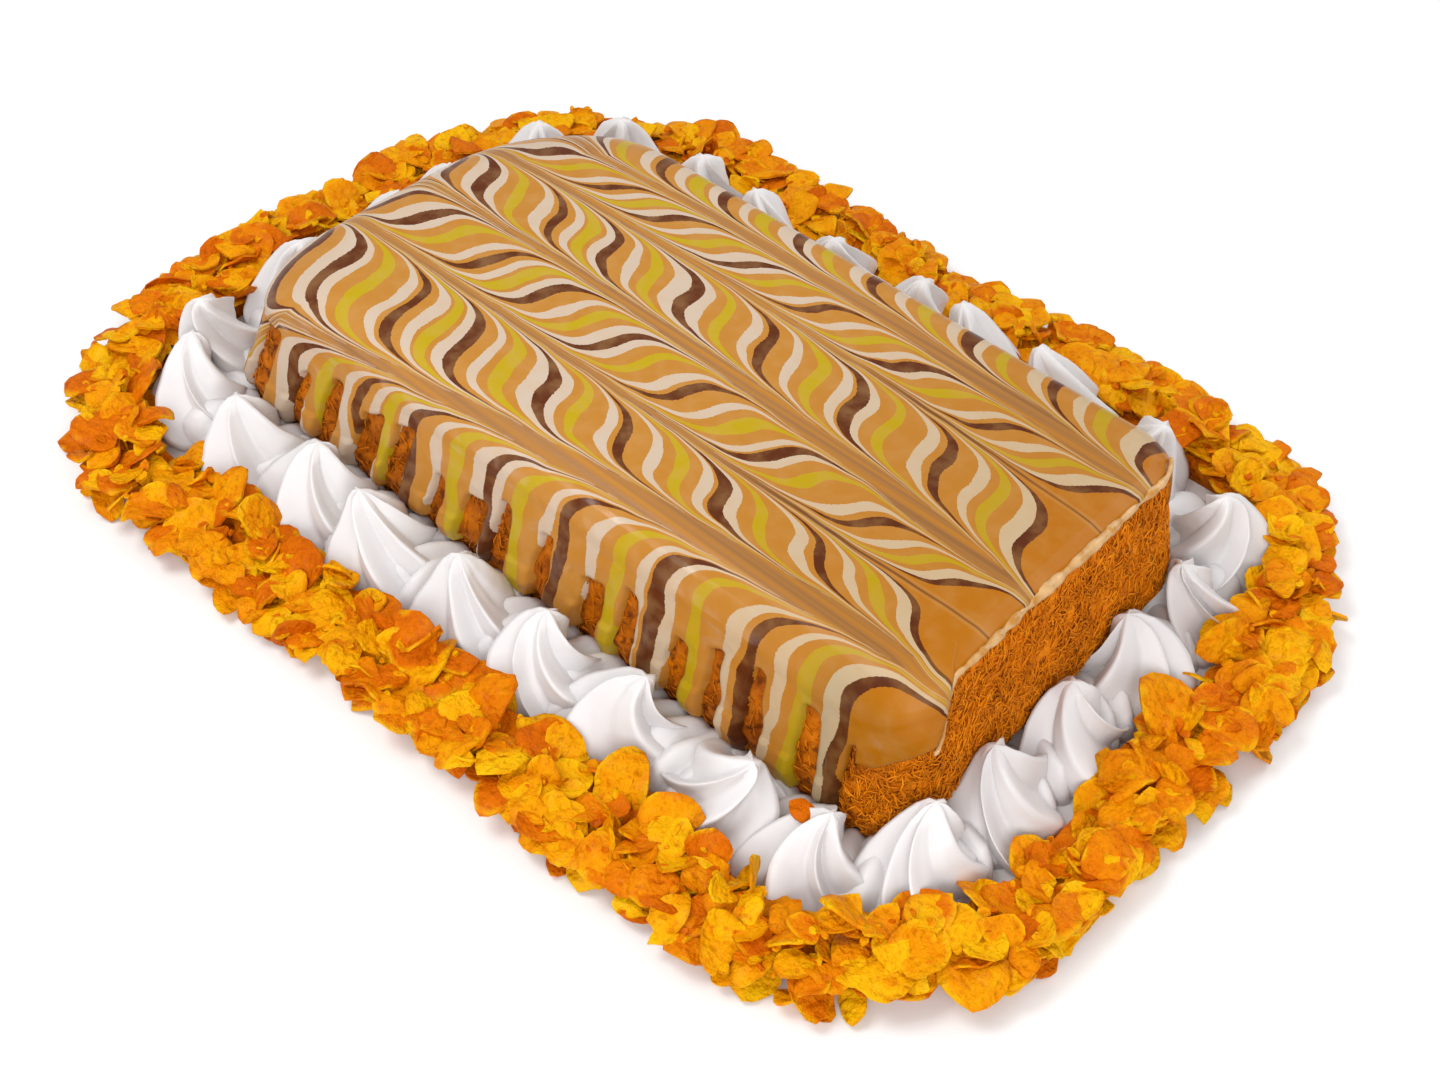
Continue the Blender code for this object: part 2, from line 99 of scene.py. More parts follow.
def make_lights():
    for name, place, size, power in LIGHTS:
        lamp = bpy.data.lights.new(name, "AREA")
        lamp.energy, lamp.size = power, size
        light = add_thing(name, lamp)
        light.location = place
        light.rotation_euler = (-Vector(place)).to_track_quat("-Z", "Y").to_euler()
    world = bpy.data.worlds.new("studio")
    world.use_nodes = True
    sky = world.node_tree.nodes["Background"]
    sky.inputs["Color"].default_value = (1.0, 1.0, 1.0, 1.0)
    sky.inputs["Strength"].default_value = WORLD_STRENGTH
    bpy.context.scene.world = world
    bpy.context.scene.view_settings.view_transform = "Standard"


# ---- helpers ----

def make_mesh(name, points, faces, material, **values):
    """A smooth-shaded object, with named values at its points."""
    mesh = bpy.data.meshes.new(name)
    mesh.from_pydata(np.vstack(points).tolist(), [], faces)
    for key, numbers in values.items():
        layer = mesh.attributes.new(key, "FLOAT", "POINT")
        layer.data.foreach_set("value", np.full(len(mesh.vertices), np.hstack(numbers), np.float32))
    mesh.materials.append(material)
    mesh.shade_smooth()
    mesh.validate()
    mesh.update()
    return add_thing(name, mesh)


def place_piece(piece, slot, *nodes):
    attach(piece, "root")
    if nodes:
        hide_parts(*nodes)


def blend(low, high, share):
    return low + (high - low) * share


def smooth_step(low, high, values):
    share = np.clip((values - low) / (high - low), 0, 1)
    return share * share * (3 - 2 * share)


def unit(vectors):
    return vectors / (np.linalg.norm(vectors, axis=-1, keepdims=True) + 1e-12)


def lattice_noise(points, cell, seed=0):
    """Smooth noise from -1 to 1 at points in space, with bumps about a cell across."""
    spots = np.asarray(points, dtype=float) / cell
    base = np.floor(spots).astype(np.int64)
    share = spots - base
    share = share * share * (3 - 2 * share)
    total = np.zeros(len(spots))
    for corner in itertools.product((0, 1), repeat=3):
        x, y, z = (base + corner).T
        mixed = (x * 374761393 + y * 668265263 + z * 2147483629 + seed * 974711) & 0xFFFFFFFF
        mixed = ((mixed ^ (mixed >> 13)) * 1274126177) & 0xFFFFFFFF
        value = ((mixed ^ (mixed >> 16)) & 0xFFFFFFFF) / 0x7FFFFFFF - 1.0
        total += value * np.prod(np.where(corner, share, 1 - share), axis=1)
    return total


def layered_noise(points, layers):
    """Noise of several sizes, from the height, the cell and the seed of each."""
    return sum(height * lattice_noise(points, cell, seed) for height, cell, seed in layers)


def feed(slot, value):
    """Give a node's input another node's result, a colour or a number."""
    value = value.socket if isinstance(value, Sum) else value
    if isinstance(value, bpy.types.NodeSocket):
        slot.id_data.links.new(value, slot)
    else:
        slot.default_value = (*value, 1.0) if isinstance(value, tuple) else value


class Sum:
    """A number in a material, worked out by nodes."""

    def __init__(self, socket):
        self.socket, self.nodes = socket, socket.id_data.nodes

    def math(self, operation, *others):
        node = self.nodes.new("ShaderNodeMath")
        node.operation = operation
        for slot, value in zip(node.inputs, (self, *others)):
            feed(slot, value)
        return Sum(node.outputs[0])

    def __add__(self, other):
        return self.math("ADD", other)

    def __sub__(self, other):
        return self.math("SUBTRACT", other)

    def __mul__(self, other):
        return self.math("MULTIPLY", other)

    def clamped(self, low, high):
        """0 up to low, 1 from high, and a smooth ramp between them."""
        node = self.nodes.new("ShaderNodeMapRange")
        node.interpolation_type = "SMOOTHSTEP"
        for key, value in (("From Min", low), ("From Max", high), ("Value", self)):
            feed(node.inputs[key], value)
        return Sum(node.outputs["Result"])


class Material:
    """A Principled material, and the nodes that these looks need."""

    def __init__(self, name, **constants):
        self.material = bpy.data.materials.new(name)
        self.material.use_nodes = True
        self.nodes = self.material.node_tree.nodes
        self.shader = self.nodes["Principled BSDF"]
        for socket, value in constants.items():
            self.set(socket.replace("_", " "), value)

    def set(self, socket, value):
        feed(self.shader.inputs[socket], value)

    def node(self, kind, **inputs):
        node = self.nodes.new("ShaderNode" + kind)
        for key, value in inputs.items():
            feed(node.inputs[key], value)
        return node

    def value(self, key):
        node = self.node("Attribute")
        node.attribute_name = key
        return Sum(node.outputs["Fac"])

    def vector(self, x, y):
        return self.node("CombineXYZ", X=x, Y=y).outputs[0]

    def place(self):
        return self.node("TexCoord").outputs["Object"]

    def noise(self, vector, scale, detail=2.0, roughness=0.5):
        node = self.node("TexNoise", Vector=vector, Scale=scale, Detail=detail, Roughness=roughness)
        return Sum(node.outputs["Fac"])

    def ramp(self, share, stops, kind="LINEAR"):
        node = self.node("ValToRGB", Fac=share)
        node.color_ramp.interpolation = kind
        points = node.color_ramp.elements
        while len(points) < len(stops):
            points.new(0.5)
        for point, (place, colour) in zip(points, stops):
            point.position = place
            point.color = (*colour, 1.0)
        return node.outputs["Color"]

    def curve(self, place, knots):
        """A measure that changes between knots along the way."""
        low, span = knots[0][0], knots[-1][0] - knots[0][0]
        most = max(height for _, height in knots)
        stops = [((at - low) / span, (height / most,) * 3) for at, height in knots]
        return Sum(self.ramp((place - low) * (1 / span), stops)) * most

    def mix(self, share, low, high, kind="MIX"):
        node = self.node("Mix")
        node.data_type, node.blend_type = "RGBA", kind
        for slot, value in ((0, share), (6, low), (7, high)):
            feed(node.inputs[slot], value)
        return node.outputs[2]

    def colour(self, value):
        self.set("Base Color", value)

    def bump(self, height, strength, distance):
        node = self.node("Bump", Height=height, Strength=strength, Distance=distance)
        self.set("Normal", node.outputs["Normal"])


# ---- the bar's form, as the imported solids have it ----

BAR_LENGTH = 0.284
BAR_WIDTH = 0.149
BAR_HEIGHT = 0.0555
CROWN = 0.0025
FRONT_TAPER = 0.045
END_SKEW = 0.06
BELLY = 0.0015
TUCK = 0.0065
TUCK_HEIGHT = 0.014
DRAFT = {"cut": 0.005, "back": 0.0078, "left": 0.008, "front": 0.0095}
SHOULDER = {"cut": 0.004, "back": 0.006, "left": 0.022, "front": 0.013}
CORNERS = np.array([0.019, 0.03, 0.016, 0.019])
CORNER_GROWTH = np.array([-0.002, 0.014, 0.006, -0.002])


def by_side(values, normal):
    """A measure that changes from side to side, blended round the corners."""
    x, y = normal[..., 0], normal[..., 1]
    end = np.where(x > 0, values["cut"], values["left"])
    side = np.where(y > 0, values["back"], values["front"])
    return end * x ** 2 + side * y ** 2


def outline(station, inset, offset, radii):
    """Points of a rounded rectangle moved out by an offset, and its normals there.

    Stations run from 0 to 8, anticlockwise from the cut end's front corner: even steps are the
    straights and odd steps the corners.
    """
    step = np.floor(station).astype(int) % 8
    share = (station - np.floor(station))[:, None]
    quarter = step // 2
    angle = (quarter + np.where(step % 2, share[:, 0], 0)) * math.pi / 2
    normal = np.stack([np.cos(angle), np.sin(angle)], -1)
    ends = np.stack([inset[side] for side in ("cut", "left", "left", "cut")], -1)
    sides = np.stack([inset[side] for side in ("back", "back", "front", "front")], -1)
    x = (BAR_LENGTH / 2 - ends + offset[:, None] - radii) * np.array([1, -1, -1, 1])
    y = (BAR_WIDTH / 2 - sides + offset[:, None] - radii) * np.array([1, 1, -1, -1])
    rows = np.arange(len(step))

    def corner(which):
        middle = np.stack([x[rows, which], y[rows, which]], -1)
        return middle + radii[rows, which][:, None] * normal

    near, far = corner(quarter), corner((quarter - 1) % 4)
    return np.where(step[:, None] % 2, near, far + (near - far) * share), normal


def foot_outline(station, offset=0.0):
    """The outline of the bar's foot, moved out by an offset."""
    station = np.asarray(station, dtype=float)
    offset = np.broadcast_to(offset, station.shape).astype(float)
    none = {side: 0 * station for side in DRAFT}
    return outline(station, none, offset, CORNERS + offset[:, None])


def side_lengths(offset=0.0):
    """The lengths of the foot's straights and corners, in the order of the stations."""
    lengths = []
    for step, radius in enumerate(CORNERS):
        span = (BAR_LENGTH if step % 2 else BAR_WIDTH) - CORNERS[step - 1] - radius
        lengths += [span, (radius + offset) * math.pi / 2]
    return lengths


def stations_at(distances, offset=0.0):
    """The stations at distances along the foot's outline."""
    walked = np.append(0.0, np.cumsum(side_lengths(offset)))
    return np.interp(np.asarray(distances) % walked[-1], walked, np.arange(9))


def distances_at(stations):
    walked = np.append(0.0, np.cumsum(side_lengths()))
    return np.interp(stations, np.arange(9), walked)


def stations_round(count, offset=0.0):
    """Stations spaced evenly round the foot's outline."""
    return stations_at(sum(side_lengths(offset)) * np.arange(count) / count, offset)


def shear(flat):
    x, y = flat[..., 0], flat[..., 1]
    along = x / (BAR_LENGTH / 2)
    return np.stack([
        np.where(x > 0, x - END_SKEW * y * along, x),
        np.where(y < 0, y * (1 - FRONT_TAPER * along), y)], -1)


def bar_surface(station, level, offset=0.0):
    """Points of the bar's surface, moved out by an offset, and the outline's normals.

    Levels climb the flank from 0 to 1, go round the shoulder to 2 and over the top to 3.
    """
    station, level, offset = (a.astype(float) for a in np.broadcast_arrays(station, level, offset))
    turn = np.clip(level - 1, 0, 1) * math.pi / 2
    climb, out = np.minimum(level, 1), offset * np.cos(turn)
    inset = {s: DRAFT[s] * climb + SHOULDER[s] * (1 - np.cos(turn)) for s in DRAFT}
    height = {s: (BAR_HEIGHT - SHOULDER[s]) * climb + SHOULDER[s] * np.sin(turn) for s in DRAFT}
    radii = CORNERS + CORNER_GROWTH * np.minimum(level, 2)[:, None] + out[:, None]
    flat, normal = outline(station, inset, out, radii)
    shrink = 3 - np.maximum(level, 2)
    crown = CROWN * (1 - (2 * flat[:, 1] * shrink / BAR_WIDTH) ** 2)
    z = by_side(height, normal) + (offset + crown) * np.sin(turn)
    swell = BELLY * np.maximum(normal[:, 0], 0) ** 2 * np.sin(math.pi * np.minimum(z / BAR_HEIGHT, 1))
    swell = (swell - TUCK * np.maximum(1 - z / TUCK_HEIGHT, 0)) * (level < 2)
    flat = shear((flat + swell[:, None] * normal) * shrink[:, None])
    return np.column_stack([flat, z]), normal


def level_at(station, height):
    """The level at which a flank stands a height above the foot."""
    _, normal = foot_outline(station)
    rounded = by_side(SHOULDER, normal)
    over = np.clip((np.asarray(height) - BAR_HEIGHT + rounded) / rounded, 0, 1)
    return np.where(over > 0, 1 + np.arcsin(over) * 2 / math.pi, height / (BAR_HEIGHT - rounded))


def unrolled(station, level):
    """Where a point of the bar would lie with its flanks folded out flat."""
    edge, normal = bar_surface(station, 2.0)
    turn = math.pi / 2 * by_side(SHOULDER, normal) * np.clip(2 - level, 0, 1)
    drop = (BAR_HEIGHT - by_side(SHOULDER, normal)) * np.clip(1 - level, 0, 1)
    here, _ = bar_surface(station, level)
    stretch = turn + drop - ((here - edge)[:, :2] * normal).sum(1)
    return here[:, :2] + np.where(level > 2, 0, stretch)[:, None] * normal


def ring_faces(counts):
    """Faces between rings of points; a ring may have half as many as the one before it."""
    faces, start = [], 0
    for here, after in zip(counts, counts[1:]):
        upper = start + here
        for i in range(after):
            j = (i + 1) % after
            if here == after:
                faces.append((start + i, start + j, upper + j, upper + i))
            else:
                a, b, c = start + 2 * i, start + 2 * i + 1, start + (2 * i + 2) % here
                faces += [(a, b, upper + i), (b, upper + j, upper + i), (b, c, upper + j)]
        start = upper
    return faces


def capped_faces(counts):
    """The same, with a face at each end."""
    first, total = range(counts[0]), sum(counts)
    return [tuple(reversed(first))] + ring_faces(counts) + [tuple(range(total - counts[-1], total))]


def hoop_faces(columns, rows):
    """Quads between rings that lie round a hoop, turned outward."""
    faces, last = ring_faces([columns] * rows), (rows - 1) * columns
    faces += [(i, last + i, last + (i + 1) % columns, (i + 1) % columns) for i in range(columns)]
    return [tuple(reversed(face)) for face in faces]


# ---- the icing ----

ICING_GAP = 0.0003
ICING_THICK = 0.0019
FINGER_PITCH = 0.0168
FINGER_STRAY = 0.16
FINGER_MIDDLE = (0.38, 0.62)
FINGER_TIP = (0.006, 0.012)
GAP_TOP = (0.025, 0.037)
GAP_HALF_WIDTH = (0.0014, 0.0034)
GAP_FOOT_RISE = (0.0036, 0.0072)
LOBE_LENGTH = 0.026
LOBE_HEIGHT = (0.03, 0.04)
LOBE_STEPS = 5
LOBE_ROUGH = 0.001
SCALLOP_PITCH = 0.0072
BEAD_TURN = 0.6
CUT_EDGE = (1.06, 1.42)
ICING_END = 1.36  # the level at which the icing ends above the cut end
CUT_ROUND = 0.0092  # the way round the cut end's shoulder
CUT_CORNER = 0.0017  # how much fuller the icing is at the cut end's upper edge
GAP_WIDER = 1.25
GAP_RISE = 0.004  # how much further up the gaps run than the solids' notches
GAP_ROUND = 0.002
GAP_FLARE = (0.0012, 0.016)  # how much wider the gaps grow below, and over what drop
TIP_DROP = 0.003
TIP_BOW = 0.0032
EDGE_WANDER = ((1.1 * MM, 0.0075, 5),)
LOBE_SLOPE, GAP_WANDER = 0.8, 1.8
TIP_SWELL = 1.0 * MM
BEAD_LEVEL = 1.47
BEAD_RADIUS = 0.00125
BEAD_BULGE = 0.0022
BEAD_REACH = (-0.21, 1.45)  # the stations that the bead runs between
BEAD_STEPS, BEAD_SIDES = 300, 10
BEAD_LUMPS = ((0.55, 0.0045, 9), (0.25, 0.0018, 10))
EDGE_ROUND = 0.002  # the icing is at its full thickness this far in from its edge
HIDDEN_DEPTH = 0.003  # how deep its mesh lies in the pastry where there is none
ICING_COLUMNS = 1280
INNER_DEPTH = 0.0038

Finger = namedtuple("Finger", "left top half tip middle right")


def skirt():
    """The icing's lower edge: scallops over the cut end, fingers down the flanks, and a lobe."""
    rng = random.Random(11)
    lengths = side_lengths()
    whole = sum(lengths)
    start, stop = lengths[0] + BEAD_TURN * lengths[1], whole - LOBE_LENGTH
    steps = round(start / SCALLOP_PITCH)
    scallops = [(start * i / steps, blend(CUT_EDGE[1 - i % 2], sum(CUT_EDGE) / 2, rng.random()))
                for i in range(steps)]
    count = round((stop - start) / FINGER_PITCH)
    pitch = (stop - start) / count
    bounds = [start + pitch * (i + rng.uniform(-FINGER_STRAY, FINGER_STRAY)) for i in range(count)]
    bounds.append(stop)
    halves = [rng.uniform(*GAP_HALF_WIDTH) for _ in bounds]
    fingers = []
    for left, right, half in zip(bounds, bounds[1:], halves):
        tip = rng.uniform(*FINGER_TIP)
        middle = blend(left, right, rng.uniform(*FINGER_MIDDLE))
        top = rng.uniform(*GAP_TOP)
        rng.uniform(*GAP_FOOT_RISE), rng.uniform(*GAP_FOOT_RISE)  # as the solids draw them
        fingers.append(Finger(left, top, half, tip, middle, right))
    lobe = [(blend(stop, whole, i / LOBE_STEPS),
             blend(*LOBE_HEIGHT, i / LOBE_STEPS) + rng.uniform(-LOBE_ROUGH, LOBE_ROUGH))
            for i in range(LOBE_STEPS)] + [(whole, BAR_HEIGHT)]
    return scallops, fingers, lobe


SCALLOPS, FINGERS, LOBE = skirt()
FOOT_ROUND = sum(side_lengths())


def icing_depth(walk, height, level):
    """How far inside the icing's edge points of the flank lie; negative where it is bare."""
    first, last = FINGERS[0].left, FINGERS[-1].right
    wander = layered_noise(np.column_stack([walk, height, 0 * walk]), EDGE_WANDER)
    way_up = (level - 1) * np.where(level < 1, BAR_HEIGHT - SHOULDER["cut"], CUT_ROUND)
    bare = way_up - (ICING_END - 1) * CUT_ROUND
    lobe = np.interp(walk, *zip(*LOBE))
    turned_back = smooth_step(SCALLOPS[-1][0], first, walk)
    depth = blend(bare, height - FINGERS[0].top, turned_back)
    depth = np.where(walk > last, (height - lobe) * LOBE_SLOPE, depth)
    inside = (walk > first) & (walk < last)
    s, z = (walk + wander)[inside], height[inside]
    best = np.full(len(s), 1.0)
    for finger in FINGERS:
        bow = ((s - finger.middle) / (finger.right - finger.left) * 2) ** 2
        own = (s >= finger.left) & (s < finger.right)
        best = np.where(own, np.minimum(best, z - finger.tip + TIP_DROP - TIP_BOW * bow), best)
    for finger in FINGERS + [FINGERS[-1]._replace(left=last, top=LOBE[0][1])]:
        above = z - finger.top - GAP_RISE + GAP_ROUND + GAP_WANDER * wander[inside]
        flare = GAP_FLARE[0] * np.clip(-above / GAP_FLARE[1], 0, 1)
        beside = np.abs(s - finger.left) - finger.half * GAP_WIDER + GAP_ROUND - flare
        gap = np.hypot(np.maximum(beside, 0), np.maximum(above, 0)) - GAP_ROUND
        best = np.minimum(best, gap + np.minimum(np.maximum(beside, above), 0))
    depth[inside] = best
    return depth


def icing_offset(station, level, points):
    """How far the icing's outer face stands off the pastry."""
    full = ICING_GAP + ICING_THICK
    height = points[:, 2]
    _, normal = foot_outline(station)
    slope = np.sin(np.clip(level - 1, 0.05, 1) * math.pi / 2)
    reach = SHOULDER["cut"] + full
    fuller = np.minimum(reach / slope - reach, CUT_CORNER) * np.maximum(normal[:, 0], 0) ** 4
    depth = icing_depth(distances_at(station), height, level)
    share = np.clip(depth / EDGE_ROUND, 0, 1)
    shown = (full + fuller) * np.sqrt(1 - (1 - share) ** 2)
    shown = shown * (0.82 + 0.18 * smooth_step(0.002, 0.006, depth))
    tip = (height < 0.02) & (depth > 0)
    shown += tip * TIP_SWELL * np.exp(-((depth - 0.002) / 0.0025) ** 2)
    hidden = -np.minimum(-depth * 2.4, HIDDEN_DEPTH)
    return np.where(level >= 1.95, full, np.where(depth > 0, shown, hidden))


def build_icing(material):
    flank = np.linspace(0.04, 1.0, 50)
    shoulder = np.linspace(1.0, 2.0, 17)[1:]
    top = np.array([2.03, 2.08, 2.15, 2.24, 2.34, 2.45, 2.56, 2.67, 2.78, 2.89, 2.97])
    inner = np.array([2.97, 2.5, 2.0, 1.5, 1.0, 0.5, 0.14])
    few = ICING_COLUMNS // 8
    counts = [ICING_COLUMNS] * (len(flank) + len(shoulder))
    counts += [ICING_COLUMNS // 2, ICING_COLUMNS // 4] + [few] * (len(top) - 2 + len(inner))
    points, flat = [], []
    for k, (level, count) in enumerate(zip(np.concatenate([flank, shoulder, top, inner]), counts)):
        station = stations_round(count)
        spots, _ = bar_surface(station, level)
        inside = k >= len(counts) - len(inner)
        offset = -INNER_DEPTH if inside else icing_offset(station, level, spots)
        points.append(bar_surface(station, level, offset)[0])
        flat.append(unrolled(station, level) / MM)
    outer, whole = sum(counts[:-len(inner)]), sum(counts)
    faces = ring_faces(counts[:-len(inner)])
    faces.append(tuple(range(outer - few, outer)))
    faces += [tuple(i + outer for i in face) for face in ring_faces(counts[-len(inner):])]
    faces.append(tuple(reversed(range(outer, outer + few))))
    # The rim joins the outer and the inner skin along the bottom.
    for i in range(few):
        pair = whole - few + i, whole - few + (i + 1) % few
        rim = [(8 * i + k) % ICING_COLUMNS for k in range(9)]
        faces += [(pair[k // 4], rim[k + 1], rim[k]) for k in range(8)] + [(*pair, rim[4])]
    along, across = np.concatenate(flat).T
    place_piece(make_mesh("marbled_icing", points, faces, material, along=along, across=across),
                "icing", "icing")


def build_bead(material):
    """The lumpy bead along the cut end's upper edge, bowed between the comb lines' ends."""
    station = np.linspace(*BEAD_REACH, BEAD_STEPS)
    walk = distances_at(np.maximum(station, 0)) + side_lengths()[-1] * np.minimum(station, 0)
    wave = np.interp(walk, *zip(*SCALLOPS)) - sum(CUT_EDGE) / 2
    station = station % 8
    _, normal = foot_outline(station)
    low = level_at(station, np.interp(walk % FOOT_ROUND, *zip(*LOBE)))
    level = np.where(walk < 0, np.minimum(low, BEAD_LEVEL), BEAD_LEVEL)
    spots, _ = bar_surface(station, level)
    ends = sorted(comb_place(line, BAR_LENGTH / 2 / MM) * MM for line in COMB_LINES if line[-1] > 0)
    ends = [-BAR_WIDTH / 2] + ends + [BAR_WIDTH / 2]
    bow = np.interp(spots[:, 1], ends, np.arange(len(ends))) % 1
    out = ICING_THICK + BEAD_BULGE * (np.sin(math.pi * bow) ** 0.6 - 0.5) - 1.2 * MM * wave
    middle, _ = bar_surface(station, level, out + BEAD_RADIUS / 2)
    lump = 1 + layered_noise(middle, BEAD_LUMPS)
    radius = BEAD_RADIUS * lump * np.sin(np.linspace(0.02, math.pi - 0.02, BEAD_STEPS)) ** 0.25
    out, up = np.column_stack([normal, 0 * radius]) * radius[:, None], np.outer(radius, (0, 0, 1))
    rings = [middle + out * math.cos(angle) + up * math.sin(angle)
             for angle in TURN * np.arange(BEAD_SIDES) / BEAD_SIDES]
    faces = capped_faces([BEAD_SIDES] * BEAD_STEPS)
    place_piece(make_mesh("icing_bead", np.stack(rings, 1), faces, material), "icing")


def bead_material():
    look = Material("bead", Roughness=0.3, Specular_IOR_Level=0.3, Coat_Weight=0.3,
                    Coat_Roughness=0.08)
    patches = look.noise(look.place(), 260.0)
    # The palest patches on the bead are partly painted highlight.
    look.colour(look.ramp(patches, ((0.3, CARAMEL), (0.48, PEACH), (0.7, BEAD_HIGHLIGHT))))
    look.bump(look.noise(look.place(), 500.0), 0.3, 0.0006)
    return look.material


# The marbling: lines of colour poured across the bar, then combed along it, in turn towards the cut
# end and away from it.  Millimetres, on the unrolled icing.
CARAMEL = (0.455, 0.192, 0.026)
PLAIN = (0.44, 0.155, 0.002)
BROWN = (0.098, 0.021, 0.003)
IVORY = (0.54, 0.425, 0.325)
YELLOW = (0.445, 0.305, 0.004)
PEACH = (0.54, 0.32, 0.13)
# The bead's palest colour: partly its own pale peach, partly painted highlight.
BEAD_HIGHLIGHT = (0.64, 0.38, 0.165)
SPINE_LIGHT = (0.33, 0.155, 0.053)
SPINE_DARK = (0.2, 0.088, 0.036)
DEEPER = (0.88, 0.81, 0.62)  # towards the cut end the colours are this much deeper
LOBE_SHADE = (0.84, 0.88, 0.9)  # on the lobe the colours are this much darker: painted shade, where it turns from the light

# Where the brown lines lie, and which lines follow each: at a share of the way to the next brown one.
BROWN_LINES = (-196, -164, -134, -119, -104, -73, -48, -15, 17, 54, 89, 123)
CLOSE, LATE, SHORT = "close", "late", "short"
RHYTHM = (CLOSE, LATE, SHORT, SHORT, CLOSE, LATE, LATE, CLOSE, LATE, CLOSE, LATE)
LINES_BETWEEN = {
    CLOSE: ((0.15, IVORY, 3.8), (0.43, YELLOW, 4.8), (0.8, IVORY, 4.6)),
    LATE: ((0.31, IVORY, 4.0), (0.56, YELLOW, 5.0), (0.84, IVORY, 4.6)),
    SHORT: ((0.66, IVORY, 4.0),),
}
BROWN_WIDTH = 4.3
JOINED = 1.3  # lines nearer to each other than this touch
RAMP_STOPS = 28
LINE_STRAYS = ((0.022, 9.0), (0.075, 5.0), (1.3, 0.7))  # the scale and size of the lines' waves

# Each comb line: its place at the bar's middle, its slope and bend, and which way it was dragged.
COMB_LINES = ((50.5, -0.004, -0.00039, 1), (28.5, -0.007, -0.00031, -1), (-1.0, -0.03, -0.00032, 1),
              (-29.5, 0.004, 0.0, -1), (-58.3, 0.09, -0.00012, 1))
DRAGS = ((18.0, 3.4), (22.0, 1.0))  # how far the comb dragged the lines, and how soon that fades

# Half the width of a comb line's own band, along the bar.
BAND_TOWARDS = ((-140, 0.4), (-100, 0.8), (0, 2.3), (95, 3.5), (122, 2.9), (139, 0.1))
BAND_AWAY = ((-140, 1.8), (-100, 1.5), (0, 1.2), (60, 0.7), (95, 0.4), (140, 0.2))
DEEP_FROM, DEEP_TO = 0.0, 126.0


def comb_place(line, along):
    """Where a comb line lies across the bar."""
    middle, slope, bend, _ = line
    return (along * bend + slope) * along + middle


def poured_lines():
    """Where each colour begins along the bar."""
    lines = [(place, BROWN, BROWN_WIDTH) for place in BROWN_LINES]
    for left, right, kind in zip(BROWN_LINES, BROWN_LINES[1:], RHYTHM):
        lines += [(blend(left, right, share), *line) for share, *line in LINES_BETWEEN[kind]]
    lines.sort()
    starts = []
    for (place, colour, width), (after, _, next_width) in zip(lines, lines[1:] + [(1e3, None, 0)]):
        starts.append((place - width / 2, colour))
        if after - next_width / 2 - place - width / 2 > JOINED:
            starts.append((place + width / 2, CARAMEL if next_width else PLAIN))
    return starts


def icing_material():
    look = Material("icing", Roughness=0.4, Specular_IOR_Level=0.09, Coat_Roughness=0.1)
    along, across = look.value("along"), look.value("across")
    sheet = look.vector(along, across)
    line_place = across + (look.noise(sheet, 0.03) - 0.5) * 3.0
    halves = {1: look.curve(along, BAND_TOWARDS), -1: look.curve(along, BAND_AWAY)}
    drag, rim, bands = None, None, {}
    for line in COMB_LINES:
        way = line[-1]
        beside = (line_place - comb_place(line, along)).math("ABSOLUTE") - halves[way]
        away = beside.math("MAXIMUM", 0.0)
        wide, near = ((away * (-1 / fade)).math("EXPONENT") * (reach * way) for reach, fade in DRAGS)
        pull = wide + near
        band, side = beside.clamped(0.5, -0.5), beside.clamped(1.5, 0.7)
        drag = pull if drag is None else drag + pull
        rim = side if rim is None else rim.math("MAXIMUM", side)
        bands[way] = bands[way].math("MAXIMUM", band) if way in bands else band
    spine = bands[1].math("MAXIMUM", bands[-1])
    strays = [(look.noise(sheet, scale, 1.0) - 0.5) * size for scale, size in LINE_STRAYS]
    dragged = sum(strays, along - drag)
    starts, colour = poured_lines(), None
    for first in range(0, len(starts), RAMP_STOPS):
        run = starts[first:first + RAMP_STOPS]
        low, span = run[0][0], run[-1][0] + 12.0 - run[0][0]
        stops = [((place - low) / span, shade) for place, shade in run]
        shades = look.ramp((dragged - low) * (1 / span), stops, "CONSTANT")
        if colour is not None:
            shades = look.mix(dragged.math("GREATER_THAN", low), colour, shades)
        colour = shades
    mottle = look.noise(sheet, 0.16, 3.0)
    colour = look.mix(mottle.clamped(0.35, 0.75) * 0.22, colour, PEACH)
    colour = look.mix(rim * 0.25, colour, PEACH)
    streaks = look.noise(look.vector(along * 0.006, across), 0.55, 2.0, 0.4)
    streak_colour = look.ramp(streaks, ((0.22, SPINE_DARK), (0.42, SPINE_LIGHT), (0.7, CARAMEL)))
    colour = look.mix(spine, colour, streak_colour)
    colour = look.mix(bands[-1] * along.clamped(30.0, 80.0) * 0.75, colour, BROWN)
    colour = look.mix(along.clamped(DEEP_FROM, DEEP_TO), colour, DEEPER, "MULTIPLY")
    # The lobe over the front corner is darkened: painted shade.
    lobe = along.clamped(102.0, 118.0) * across.clamped(-53.0, -65.0)
    colour = look.mix(lobe, colour, LOBE_SHADE, "MULTIPLY")
    look.colour(colour)
    wet = look.noise(sheet, 0.1, 2.0, 0.6).clamped(0.5, 0.66) * across.clamped(-56.0, -70.0)
    look.set("Coat Weight", wet * 0.75 + 0.12)
    relief = Sum(colour) * 1.2 + spine * streaks * 0.7 + look.noise(sheet, 0.25, 3.0)
    look.bump(relief, 0.22, 0.0006)
    return look.material


# ---- the pastry ----

